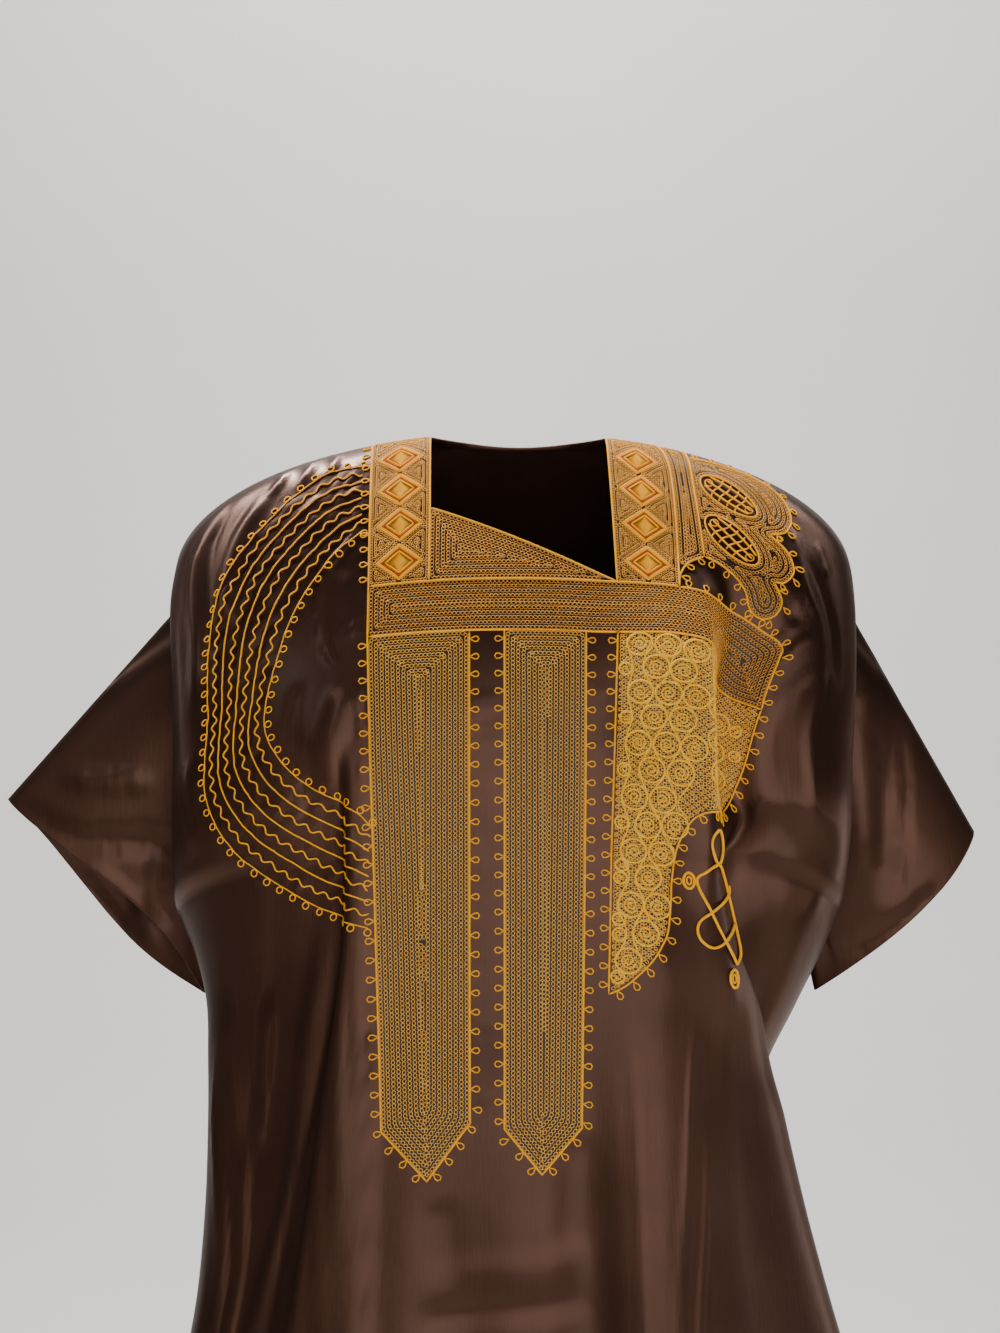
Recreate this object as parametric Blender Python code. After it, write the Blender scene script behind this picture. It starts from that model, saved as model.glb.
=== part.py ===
"""Abaya: a wide satin gown with cape sleeves and an embroidered front, hollow and hanging as worn.

The origin is where the shoulders hold it, midway across the neck. +X runs to the right as seen from
in front, -Y is the front and +Z is up. All sizes are in metres. Left and right mean left and right
as seen from in front.

The body is worked out as cloth. A place on it is given by two cloth distances: `across`, from the
middle, and `down`, from the shoulder line. The class Cloth turns the sections in BODY and the folds
in PLEATS and FOLDS into points, and every piece is cut from those points by an outline.
"""

from collections import namedtuple

import bpy
import numpy as np
from mathutils.geometry import delaunay_2d_cdt

# Cloth and gaps
WALL = 0.0016
SEAM_GAP = 0.0012
SHOULDER_SEAM_GAP = 0.0009
THREAD_LIFT = 0.0003
THREAD_DEPTH = 0.0011
THREAD_INSET = 0.0002

# Sections of the body, from the shoulder line to the hem. down is the distance along the middle of
# the front. left and right are the widest reach of each side. wrap is how far round the section the
# side seam or armhole lies, in degrees from the middle. square is 2 for an ellipse and more for a
# boxy section. The last three place the seam.
Section = namedtuple(
    "Section",
    "down front_z front_y back_z back_y left right wrap square front_seam_y back_seam_y seam_z",
)
BODY = (
    Section(0.000, 0.003, 0.000, 0.003, 0.000, 0.242, 0.243, 101, 2.00, 0.000, 0.000, -0.119),
    Section(0.016, -0.004, -0.014, -0.004, 0.014, 0.242, 0.243, 103, 2.00, -0.008, 0.008, -0.127),
    Section(0.048, -0.028, -0.037, -0.026, 0.034, 0.243, 0.243, 106, 2.00, -0.020, 0.020, -0.147),
    Section(0.098, -0.070, -0.065, -0.068, 0.062, 0.241, 0.242, 110, 2.05, -0.030, 0.034, -0.177),
    Section(0.154, -0.120, -0.090, -0.120, 0.086, 0.238, 0.240, 113, 2.10, -0.036, 0.042, -0.215),
    Section(0.210, -0.172, -0.110, -0.172, 0.100, 0.237, 0.237, 115, 2.15, -0.036, 0.044, -0.258),
    Section(0.271, -0.230, -0.125, -0.230, 0.108, 0.237, 0.235, 117, 2.20, -0.034, 0.040, -0.308),
    Section(0.310, -0.269, -0.130, -0.269, 0.110, 0.236, 0.231, 118, 2.20, -0.024, 0.028, -0.343),
    Section(0.325, -0.284, -0.131, -0.284, 0.110, 0.236, 0.229, 118, 2.20, -0.013, 0.015, -0.357),
    Section(0.332, -0.291, -0.132, -0.291, 0.110, 0.234, 0.227, 118, 2.20, 0.000, 0.000, -0.363),
    Section(0.355, -0.313, -0.134, -0.313, 0.110, 0.225, 0.219, 119, 2.25, 0.000, 0.000, -0.385),
    Section(0.392, -0.350, -0.137, -0.350, 0.109, 0.215, 0.201, 120, 2.30, 0.000, 0.000, -0.424),
    Section(0.440, -0.398, -0.140, -0.398, 0.108, 0.213, 0.181, 121, 2.30, 0.000, 0.000, -0.473),
    Section(0.490, -0.448, -0.142, -0.448, 0.109, 0.213, 0.190, 121, 2.35, 0.000, 0.000, -0.523),
    Section(0.550, -0.508, -0.147, -0.508, 0.112, 0.215, 0.205, 121, 2.40, 0.000, 0.000, -0.580),
    Section(0.620, -0.577, -0.153, -0.577, 0.119, 0.222, 0.222, 120, 2.40, 0.000, 0.000, -0.645),
    Section(0.700, -0.657, -0.160, -0.657, 0.128, 0.240, 0.244, 118, 2.40, 0.000, 0.000, -0.720),
    Section(1.000, -0.955, -0.190, -0.955, 0.170, 0.322, 0.322, 110, 2.40, 0.000, 0.000, -1.000),
    Section(1.447, -1.400, -0.230, -1.400, 0.225, 0.425, 0.420, 104, 2.30, 0.000, 0.000, -1.405),
)
HEM = BODY[-1].down
UNDERARM = 0.332

# Pleats. At edge the cloth turns back by angle degrees, runs over flank and turns forward again. edge
# and flank are cloth distances, edge from the middle. Each pleat has a row for each level.
PleatPlace = namedtuple("PleatPlace", "down edge flank angle")
PLEATS = {
    "chest_ridge": (
        PleatPlace(0.105, 0.130, 0.016, 0),
        PleatPlace(0.130, 0.132, 0.022, 25),
        PleatPlace(0.180, 0.134, 0.036, 66),
        PleatPlace(0.280, 0.135, 0.042, 75),
        PleatPlace(0.330, 0.133, 0.030, 58),
        PleatPlace(0.380, 0.129, 0.034, 30),
        PleatPlace(0.440, 0.125, 0.073, 16),
        PleatPlace(0.560, 0.124, 0.118, 12),
        PleatPlace(0.700, 0.130, 0.160, 10),
        PleatPlace(1.000, 0.160, 0.210, 10),
        PleatPlace(1.447, 0.220, 0.250, 10),
    ),
    "right_pleat": (
        PleatPlace(0.105, 0.168, 0.024, 0),
        PleatPlace(0.180, 0.174, 0.024, 0),
        PleatPlace(0.280, 0.176, 0.024, 0),
        PleatPlace(0.330, 0.163, 0.026, 95),
        PleatPlace(0.380, 0.163, 0.036, 140),
        PleatPlace(0.440, 0.198, 0.045, 155),
        PleatPlace(0.560, 0.242, 0.045, 155),
        PleatPlace(0.700, 0.290, 0.045, 135),
        PleatPlace(1.000, 0.370, 0.050, 95),
        PleatPlace(1.447, 0.470, 0.060, 45),
    ),
    "left_tuck": (
        PleatPlace(0.250, 0.110, 0.008, 0),
        PleatPlace(0.300, 0.112, 0.009, 70),
        PleatPlace(0.380, 0.113, 0.010, 80),
        PleatPlace(0.510, 0.131, 0.010, 80),
        PleatPlace(0.645, 0.155, 0.010, 70),
        PleatPlace(1.000, 0.220, 0.010, 40),
        PleatPlace(1.250, 0.260, 0.010, 0),
    ),
}
# Where each pleat lies, how long its turns are, how far the cloth beside it rises and recovers over,
# and the share of its depth that is the rise.
Pleat = namedtuple("Pleat", "name side hand turn rise recovery rise_share")
PLEAT_LIST = (
    Pleat("chest_ridge", "front", "right", 0.014, 0.080, 0.080, 0.35),
    Pleat("right_pleat", "front", "right", 0.020, 0.080, 0.100, 0.45),
    Pleat("left_tuck", "front", "left", 0.005, 0.040, 0.050, 0.50),
)

# Soft folds: a ridge, or a trough where the height is negative, from one place on the cloth to
# another. across is to the right of the middle.
Fold = namedtuple("Fold", "side down_from across_from down_to across_to half_width height_from height_to")
FOLDS = (
    Fold("front", 0.40, 0.082, 1.447, 0.130, 0.040, 0.001, 0.018),
    Fold("front", 0.48, 0.045, 1.447, 0.070, 0.030, -0.002, -0.012),
    Fold("front", 0.50, -0.033, 1.447, -0.060, 0.040, -0.001, -0.018),
    Fold("front", 0.36, -0.106, 1.447, -0.150, 0.026, 0.002, 0.020),
    Fold("front", 0.36, -0.172, 1.447, -0.290, 0.050, -0.010, -0.026),
    Fold("front", 0.36, 0.143, 0.900, 0.160, 0.012, 0.002, 0.002),
    Fold("front", 0.80, -0.215, 1.447, -0.400, 0.050, 0.000, 0.022),
    Fold("front", 0.75, 0.225, 1.447, 0.315, 0.045, 0.000, 0.016),
    Fold("front", 0.75, 0.280, 1.447, 0.400, 0.045, 0.000, -0.016),
    Fold("front", 0.16, 0.205, 0.340, 0.215, 0.022, 0.004, 0.004),
    Fold("back", 0.42, 0.030, 1.447, 0.060, 0.050, 0.001, 0.020),
    Fold("back", 0.50, -0.045, 1.447, -0.085, 0.048, 0.001, 0.017),
    Fold("back", 0.46, 0.105, 1.447, 0.185, 0.055, -0.001, -0.020),
    Fold("back", 0.40, -0.120, 1.447, -0.215, 0.055, -0.002, -0.022),
    Fold("back", 0.55, 0.180, 1.447, 0.315, 0.055, 0.001, 0.021),
    Fold("back", 0.50, -0.190, 1.447, -0.345, 0.060, 0.001, 0.024),
    Fold("back", 0.60, 0.250, 1.447, 0.440, 0.050, -0.001, -0.015),
    Fold("back", 0.60, -0.260, 1.447, -0.470, 0.050, -0.001, -0.016),
)

LEVEL_STEP = 0.005
CLOTH_STEP = 0.001
CLOTH_REACH = 0.800
SHARES = 361
PAST_SEAM = 1.06

# A fold grows and fades over this share of its length. A slope's sine stays under the steepest. Folds
# fade out toward a seam from this share of the way.
FOLD_FADE = 0.15
STEEPEST = 0.9
SEAM_FADE = 0.6

GOLD = (0.80, 0.42, 0.06, 1.0)
BROWN = (0.055, 0.028, 0.018, 1.0)
THREAD_ROUGHNESS = 0.6
SATIN_ROUGHNESS = 0.35


def through(rows, column, at):
    """Smooth curve of one column of a table against its first column, held level past its ends."""
    x = np.array([row[0] for row in rows], float)
    y = np.array([getattr(row, column) for row in rows], float)
    slope = np.gradient(y, x)
    at = np.clip(at, x[0], x[-1])
    i = np.clip(np.searchsorted(x, at) - 1, 0, len(x) - 2)
    step = x[i + 1] - x[i]
    t = (at - x[i]) / step
    start = y[i] * (1 + 2 * t) * (1 - t) ** 2 + step * slope[i] * t * (1 - t) ** 2
    end = y[i + 1] * t**2 * (3 - 2 * t) - step * slope[i + 1] * t**2 * (1 - t)
    return start + end


def eased(value, start, end):
    """0 before start, 1 after end and a smooth step between."""
    t = np.clip((value - start) / (end - start), 0, 1)
    return t * t * (3 - 2 * t)


def unit(vectors):
    """Vectors along the last axis, each at length 1."""
    length = np.linalg.norm(vectors, axis=-1, keepdims=True)
    return vectors / np.maximum(length, 1e-12)


def bump(value, start, end):
    """Smooth hump between start and end whose area is 1."""
    t = np.clip((value - start) / (end - start), 0, 1)
    return 30 * (t * (1 - t)) ** 2 / (end - start)


def running_sum(values, step):
    """Integral of each row from its first column."""
    middle = (values[:, 1:] + values[:, :-1]) / 2
    return np.concatenate([np.zeros((len(values), 1)), np.cumsum(middle, axis=1) * step], axis=1)


def bare_body(side, levels):
    """Unfolded sections of the front or the back: points, outward normals and cloth distances.

    Each row is a section. Its columns run from just past the left seam to just past the right one.
    """
    share = np.linspace(-PAST_SEAM, PAST_SEAM, SHARES)[None, :]
    value = {name: through(BODY, name, levels)[:, None] for name in Section._fields}
    value["front_seam_y"] = np.minimum(value["front_seam_y"], 0)
    value["back_seam_y"] = np.maximum(value["back_seam_y"], 0)
    turn = np.radians(value["wrap"]) * share
    power = 2 / value["square"]
    reach = np.where(share < 0, value["left"], value["right"])
    x = reach * np.sign(turn) * np.abs(np.sin(turn)) ** power
    toward = np.sign(np.cos(turn)) * np.abs(np.cos(turn)) ** power
    end = np.cos(np.radians(value["wrap"]))
    end = np.sign(end) * np.abs(end) ** power
    blend = (1 - toward) / (1 - end)
    y = value[side + "_y"] + (value[side + "_seam_y"] - value[side + "_y"]) * blend
    z = value[side + "_z"] + (value["seam_z"] - value[side + "_z"]) * blend
    points = np.stack([x, y, z], axis=2)

    along = np.gradient(points, axis=1)
    down = np.gradient(points, levels, axis=0)
    normals = unit(np.cross(down, along) if side == "front" else np.cross(along, down))

    steps = np.linalg.norm(np.diff(points, axis=1), axis=2)
    across = np.concatenate([np.zeros((len(levels), 1)), np.cumsum(steps, axis=1)], axis=1)
    across -= across[:, SHARES // 2, None]
    seams = [np.array([np.interp(s, share[0], row) for row in across]) for s in (-1, 1)]
    return points, normals, across, seams


def soft_height(side, across, levels):
    """Height of all the soft folds together, and its slope across the cloth."""
    height = np.zeros((len(levels), across.shape[1]))
    for fold in FOLDS:
        if fold.side != side:
            continue
        t = (levels - fold.down_from) / (fold.down_to - fold.down_from)
        middle = fold.across_from + (fold.across_to - fold.across_from) * t
        size = fold.height_from + (fold.height_to - fold.height_from) * t
        size = size * eased(t, -FOLD_FADE, FOLD_FADE) * eased(-t, -1 - FOLD_FADE, FOLD_FADE - 1)
        away = (across - middle[:, None]) / fold.half_width
        height += size[:, None] * np.clip(1 - away**2, 0, 1) ** 2
    return height, np.gradient(height, CLOTH_STEP, axis=1)


def pleat_angles(side, hand, distance, levels):
    """Turn of the cloth out of its section at each distance from the middle, in radians."""
    angles = np.zeros((len(levels), distance.shape[1]))
    slopes = np.zeros_like(angles)
    for pleat in PLEAT_LIST:
        if (pleat.side, pleat.hand) != (side, hand):
            continue
        rows = PLEATS[pleat.name]
        edge = through(rows, "edge", levels)[:, None]
        end = edge + through(rows, "flank", levels)[:, None]
        angle = np.radians(np.maximum(through(rows, "angle", levels), 0))[:, None]
        half = pleat.turn / 2
        flank = eased(distance, edge - half, edge + half) - eased(distance, end - half, end + half)
        depth = running_sum(np.sin(angle * flank), CLOTH_STEP)[:, -1:]
        rise = bump(distance, edge - half - pleat.rise, edge - half) * pleat.rise_share
        recovery = bump(distance, end + half, end + half + pleat.recovery) * (1 - pleat.rise_share)
        angles -= angle * flank
        slopes += depth * (rise + recovery)
    return angles + np.arcsin(np.clip(slopes, -STEEPEST, STEEPEST))


class Cloth:
    """The front or the back of the body as a sheet: a point for every across and down."""

    def __init__(self, side):
        self.side = side
        self.levels = np.arange(0, HEM + LEVEL_STEP, LEVEL_STEP)
        points, normals, section, seams = bare_body(side, self.levels)
        halves = [self.folded_half(hand, section, seams) for hand in ("left", "right")]
        (left_way, left_height, left_edge), (right_way, right_height, right_edge) = halves
        self.across = np.concatenate([-self.distance[:0:-1], self.distance])
        way = np.concatenate([-left_way[:, :0:-1], right_way], axis=1)
        height = np.concatenate([left_height[:, :0:-1], right_height], axis=1)
        self.edges = {"left": -left_edge, "right": right_edge}
        self.points = np.empty(way.shape + (3,))
        self.normals = np.empty_like(self.points)
        for i in range(len(self.levels)):
            for axis in range(3):
                self.points[i, :, axis] = np.interp(way[i], section[i], points[i, :, axis])
                self.normals[i, :, axis] = np.interp(way[i], section[i], normals[i, :, axis])
        self.points += self.normals * height[:, :, None]
        self.normals = self.surface_normals()

    @property
    def distance(self):
        return np.arange(0, CLOTH_REACH, CLOTH_STEP)

    def folded_half(self, hand, section, seams):
        """Way along the bare section, height off it and the seam's cloth distance, for one half."""
        sign = -1 if hand == "left" else 1
        reach = np.abs(seams[0 if hand == "left" else 1])
        distance = self.distance[None, :]
        soft, slope = soft_height(self.side, sign * distance, self.levels)
        angles = pleat_angles(self.side, hand, distance, self.levels)
        turn = angles + np.arcsin(np.clip(sign * slope, -STEEPEST, STEEPEST))
        way = running_sum(np.cos(turn), CLOTH_STEP)
        height = running_sum(np.sin(angles), CLOTH_STEP) + soft
        edge = np.array([self.distance[np.nonzero(row < end)[0][-1]] for row, end in zip(way, reach)])
        beyond = np.array([np.interp(e, self.distance, row) for e, row in zip(edge, height)])
        height -= beyond[:, None] * eased(distance, edge[:, None] * SEAM_FADE, edge[:, None])
        return way, height, edge

    def surface_normals(self):
        """Outward normals of the folded surface."""
        along = np.gradient(self.points, axis=1)
        down = np.gradient(self.points, axis=0)
        return unit(np.cross(down, along) if self.side == "front" else np.cross(along, down))

    def edge(self, hand, down):
        """Cloth distance of a seam at a level."""
        return np.interp(down, self.levels, self.edges[hand])

    def sample(self, grid, across, down):
        """Value of a grid at places on the cloth."""
        column = np.clip((across - self.across[0]) / CLOTH_STEP, 0, len(self.across) - 1.001)
        row = np.clip(down / LEVEL_STEP, 0, len(self.levels) - 1.001)
        i = row.astype(int)
        j = column.astype(int)
        u = (column - j)[:, None]
        v = (row - i)[:, None]
        upper = grid[i, j] * (1 - u) + grid[i, j + 1] * u
        lower = grid[i + 1, j] * (1 - u) + grid[i + 1, j + 1] * u
        return upper * (1 - v) + lower * v

    def at(self, across, down, lift=0.0):
        """Points on the cloth, moved out along its normal by lift."""
        across = np.asarray(across, float)
        down = np.asarray(down, float)
        return self.sample(self.points, across, down) + unit(self.sample(self.normals, across, down)) * lift


# The mesh follows the folds: columns are counted between guide lines down the cloth, so that each
# pleat turn gets its own columns. A guide is a cloth distance at every level.
FRONT_ROWS = (
    0, 0.016, 0.032, 0.050, 0.072, 0.096, 0.120, 0.145, 0.170, 0.195, 0.220, 0.245, 0.270, 0.295, 0.320,
    0.345, 0.370, 0.395, 0.420, 0.450, 0.482, 0.515, 0.550, 0.600, 0.660, 0.730, 0.800, 0.880, 0.960, 1.050,
    1.150, 1.250, 1.350, HEM,
)
BACK_ROWS = (
    0, 0.016, 0.036, 0.065, 0.100, 0.140, 0.180, 0.220, 0.260, 0.300, 0.340, 0.380, 0.430, 0.490, 0.560,
    0.640, 0.730, 0.830, 0.940, 1.060, 1.190, 1.320, HEM,
)
BACK_COLUMNS = 36
TURN_MARGIN = 0.010
FLAT_LEVEL = 0.285


def front_guides(cloth):
    """Guides of the front from left seam to right seam, with the columns between each two."""
    edge = {name: through(rows, "edge", cloth.levels) for name, rows in PLEATS.items()}
    end = {name: edge[name] + through(rows, "flank", cloth.levels) for name, rows in PLEATS.items()}
    lines = (
        (cloth.edges["left"], 0),
        (-end["left_tuck"] - TURN_MARGIN, 9),
        (-edge["left_tuck"] + TURN_MARGIN, 4),
        (0 * cloth.levels, 5),
        (edge["chest_ridge"] - TURN_MARGIN, 6),
        (edge["chest_ridge"] + TURN_MARGIN, 3),
        (edge["right_pleat"] - TURN_MARGIN, 2),
        (edge["right_pleat"] + TURN_MARGIN, 5),
        (end["right_pleat"] - TURN_MARGIN, 2),
        (end["right_pleat"] + TURN_MARGIN, 5),
        (cloth.edges["right"], 6),
    )
    return np.stack([line for line, _ in lines]), np.cumsum([count for _, count in lines])


def back_guides(cloth):
    """Guides of the back, which has no pleats."""
    lines = [cloth.edges["left"], 0 * cloth.levels, cloth.edges["right"]]
    return np.stack(lines), np.array([0, BACK_COLUMNS // 2, BACK_COLUMNS])


class Net:
    """Columns and rows laid over a cloth, and the way between them and cloth distances."""

    def __init__(self, cloth, guides, rows):
        self.cloth = cloth
        self.lines, self.counts = guides
        self.rows = np.array(rows)

    def lines_at(self, down):
        """Cloth distance of every guide at each level."""
        return np.stack([np.interp(down, self.cloth.levels, line) for line in self.lines], axis=1)

    def to_net(self, across, down):
        """Column and row of places on the cloth."""
        lines = self.lines_at(down)
        column = [np.interp(a, line, self.counts) for a, line in zip(across, lines)]
        return np.column_stack([column, np.interp(down, self.rows, np.arange(len(self.rows)))])

    def to_cloth(self, places):
        """Cloth distances of columns and rows."""
        down = np.interp(places[:, 1], np.arange(len(self.rows)), self.rows)
        lines = self.lines_at(down)
        across = [np.interp(c, self.counts, line) for c, line in zip(places[:, 0], lines)]
        return np.array(across), down


# Corners of the pieces of dense thread work on the front, in millimetres of cloth.
Corner = namedtuple("Corner", "across down")
SHOULDER_END = 1000 * SHOULDER_SEAM_GAP
NECK_LEFT = (Corner(-59, SHOULDER_END), Corner(-58, 77))
NECK_RIGHT = (Corner(67, SHOULDER_END), Corner(72, 137))
CHEST_TOP_LEFT = Corner(-100, 137)
INSET_CORNER = Corner(-58, 137)
BAND_CORNER = Corner(115, 137)
LEAF_EDGE = (Corner(126, 12), Corner(130, 55), Corner(134, 106))
CHEST_RIGHT = (
    Corner(132, 137), Corner(162, 142), Corner(184, 149), Corner(203, 158), Corner(209, 171),
    Corner(214, 212),
)
CHEST_BOTTOM_RIGHT = (Corner(185, 203), Corner(165, 193), Corner(133, 178))
CHEST_BOTTOM = 176
FIELDS = {
    "shoulder_band_left": (
        Corner(-101, SHOULDER_END), *NECK_LEFT, INSET_CORNER, CHEST_TOP_LEFT,
    ),
    "shoulder_band_right": (
        *NECK_RIGHT, BAND_CORNER, Corner(116, 127), Corner(122, 115), *LEAF_EDGE[::-1],
        Corner(126, SHOULDER_END),
    ),
    "neck_inset": (NECK_LEFT[1], NECK_RIGHT[1], INSET_CORNER),
    "chest_band": (
        CHEST_TOP_LEFT, INSET_CORNER, NECK_RIGHT[1], BAND_CORNER, *CHEST_RIGHT, *CHEST_BOTTOM_RIGHT,
        Corner(72, CHEST_BOTTOM), Corner(50, CHEST_BOTTOM), Corner(-6, CHEST_BOTTOM),
        Corner(-30, CHEST_BOTTOM), Corner(-100, CHEST_BOTTOM),
    ),
    "knife_left": (
        Corner(-100, CHEST_BOTTOM), Corner(-30, CHEST_BOTTOM), Corner(-29, 512), Corner(-58, 550),
        Corner(-89, 516), Corner(-94, 345), Corner(-98, 240),
    ),
    "knife_right": (
        Corner(-6, CHEST_BOTTOM), Corner(50, CHEST_BOTTOM), Corner(46, 515), Corner(19, 546),
        Corner(-6, 516),
    ),
    "pocket_field": (
        Corner(72, CHEST_BOTTOM), *CHEST_BOTTOM_RIGHT[::-1], CHEST_RIGHT[-1], Corner(210, 240),
        Corner(200, 265), Corner(180, 292), Corner(160, 299), Corner(140, 297), Corner(124, 300),
        Corner(112, 320), Corner(107, 345), Corner(106, 370), Corner(100, 390), Corner(83, 411),
        Corner(64, 425), Corner(66, 330),
    ),
    "shoulder_leaf": (
        *LEAF_EDGE, Corner(151, 114), Corner(165, 126), Corner(171, 136), Corner(182, 141),
        Corner(192, 133), Corner(192, 119), Corner(184, 111), Corner(196, 105), Corner(201, 90),
        Corner(196, 75), Corner(184, 69), Corner(198, 54), Corner(201, 32), Corner(193, 14),
        Corner(176, 6), Corner(150, 9),
    ),
}
OUTLINE_STEP = 0.022
SHOULDER_POINTS = 12
BACK_NECK = (-0.059, 0.067)
BACK_NECK_DEPTH = 0.020
BACK_NECK_POINTS = 9

# How far, in cells of the net, its points stay clear of an outline, and how near two points count as one.
NET_CLEARANCE = 0.38
SAME_POINT = 1e-5


def divided(corners):
    """Corners in millimetres as a line in metres with no step over OUTLINE_STEP, last one left out."""
    points = np.array(corners, float) / 1000
    line = []
    for start, end in zip(points, points[1:]):
        count = max(1, int(np.ceil(np.linalg.norm(end - start) / OUTLINE_STEP)))
        line += [start + (end - start) * k / count for k in range(count)]
    return np.array(line)


def panel_outline(net, neck):
    """Closed outline of a body panel: neck edge, shoulder seam, right seam, hem and left seam."""
    cloth = net.cloth
    down = net.rows.copy()
    down[0] = SHOULDER_SEAM_GAP
    right = np.column_stack([cloth.edge("right", down) - SEAM_GAP, down])
    left = np.column_stack([cloth.edge("left", down) + SEAM_GAP, down])
    hem_columns = np.arange(1, net.counts[-1])[::-1]
    hem = net.to_cloth(np.column_stack([hem_columns, np.full(len(hem_columns), len(down) - 1.0)]))
    share = np.linspace(0, 1, SHOULDER_POINTS)[1:-1, None]
    right_shoulder = neck[-1] + (right[0] - neck[-1]) * share
    left_shoulder = left[0] + (neck[0] - left[0]) * share
    return np.concatenate([neck, right_shoulder, right, np.column_stack(hem), left[::-1], left_shoulder])


def within(points, outline):
    """Whether points lie inside a closed outline, by counting the edges to one side of each."""
    x, y = points[:, 0, None], points[:, 1, None]
    x0, y0 = outline.T
    x1, y1 = np.roll(outline, -1, axis=0).T
    crosses = (y0 > y) != (y1 > y)
    with np.errstate(divide="ignore", invalid="ignore"):
        at = x0 + (y - y0) * (x1 - x0) / (y1 - y0)
    return (crosses & (x < at)).sum(axis=1) % 2 == 1


def clear_of(points, outline, margin):
    """Whether points lie at least margin away from every edge of an outline."""
    start = outline[None, :, :]
    way = np.roll(outline, -1, axis=0)[None, :, :] - start
    to_point = points[:, None, :] - start
    length = np.maximum((way**2).sum(axis=2), 1e-12)
    share = np.clip((to_point * way).sum(axis=2) / length, 0, 1)
    return np.linalg.norm(to_point - way * share[:, :, None], axis=2).min(axis=1) > margin


def triangles_in(net, outline, fields, skip=None):
    """Triangulate a panel in its net, with an edge along every outline. Returns cloth places too."""
    outlines = [net.to_net(*o.T) for o in [outline, *fields]]
    columns, rows = np.meshgrid(np.arange(1, net.counts[-1]), np.arange(1, len(net.rows) - 1))
    grid = np.column_stack([columns.ravel(), rows.ravel()]).astype(float)
    if skip is not None:
        grid = grid[~skip(grid)]
    grid = grid[within(grid, outlines[0])]
    for line in outlines:
        grid = grid[clear_of(grid, line, NET_CLEARANCE)]
    points = np.concatenate(outlines + [grid])
    edges = []
    first = 0
    for line in outlines:
        index = np.arange(first, first + len(line))
        edges += list(zip(index.tolist(), np.roll(index, -1).tolist()))
        first += len(line)
    vectors = [tuple(p) for p in points]
    places, _, faces, _, _, _ = delaunay_2d_cdt(vectors, edges, [], 0, SAME_POINT)
    places = np.array([tuple(p) for p in places])
    faces = np.array([f if net.cloth.side == "back" else f[::-1] for f in faces])
    middles = places[faces].mean(axis=1)
    faces = faces[within(middles, outlines[0])]
    middles = places[faces].mean(axis=1)
    members = [faces[within(middles, line)] for line in outlines[1:]]
    across, down = net.to_cloth(places)
    return np.column_stack([across, down]), faces, members


def open_edges(faces):
    """Edges that only one triangle has, in that triangle's direction."""
    edges = np.concatenate([faces[:, [0, 1]], faces[:, [1, 2]], faces[:, [2, 0]]])
    known = {tuple(e) for e in edges.tolist()}
    return np.array([e for e in edges.tolist() if (e[1], e[0]) not in known])


def material(name, color, roughness):
    """Material with one colour and roughness."""
    surface = bpy.data.materials.new(name)
    surface.use_nodes = True
    shader = surface.node_tree.nodes["Principled BSDF"]
    shader.inputs["Base Color"].default_value = color
    shader.inputs["Roughness"].default_value = roughness
    return surface


def wall_mesh(name, outer, inner, faces, color, roughness):
    """Closed wall between two like sheets of points. faces run so that the outer sheet faces out."""
    used, index = np.unique(faces, return_inverse=True)
    faces = index.reshape(faces.shape)
    outer, inner = outer[used], inner[used]
    count = len(used)
    rim = open_edges(faces)
    side = np.concatenate([
        np.column_stack([rim[:, 1], rim[:, 0], rim[:, 0] + count]),
        np.column_stack([rim[:, 1], rim[:, 0] + count, rim[:, 1] + count]),
    ])
    mesh = bpy.data.meshes.new(name)
    everything = np.concatenate([faces, faces[:, ::-1] + count, side])
    mesh.from_pydata(np.concatenate([outer, inner]).tolist(), [], everything.tolist())
    mesh.validate()
    obj = bpy.data.objects.new(name, mesh)
    bpy.context.scene.collection.objects.link(obj)
    mesh.materials.append(material(name, color, roughness))
    return obj


def inward(points, faces):
    """Unit way into a sheet of triangles at each point of its open edge, and 0 elsewhere."""
    way = np.zeros_like(points)
    normals = np.cross(points[faces[:, 1]] - points[faces[:, 0]], points[faces[:, 2]] - points[faces[:, 0]])
    rim = {tuple(edge) for edge in open_edges(faces).tolist()}
    for face, normal in zip(faces.tolist(), normals):
        for i, j in zip(face, face[1:] + face[:1]):
            if (i, j) in rim:
                into = np.cross(normal, points[j] - points[i])
                way[[i, j]] += into / np.linalg.norm(into)
    length = np.linalg.norm(way, axis=1, keepdims=True)
    return np.divide(way, length, out=np.zeros_like(way), where=length > 0)


def make_body(side, net, outline, fields, skip=None):
    """Wall of the front or back and the thread work that lies on it."""
    borders = [divided((*corners, corners[0])) for corners in fields.values()]
    places, faces, members = triangles_in(net, outline, borders, skip)
    cloth = net.cloth
    outer = cloth.at(*places.T, WALL / 2)
    inner = cloth.at(*places.T, -WALL / 2)
    wall_mesh(side, outer, inner, faces, BROWN, SATIN_ROUGHNESS)
    low = cloth.at(*places.T, WALL / 2 + THREAD_LIFT)
    high = cloth.at(*places.T, WALL / 2 + THREAD_LIFT + THREAD_DEPTH)
    for name, member in zip(fields, members):
        shift = inward(low, member) * THREAD_INSET
        wall_mesh(name, high + shift, low + shift, member, GOLD, THREAD_ROUGHNESS)


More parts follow.
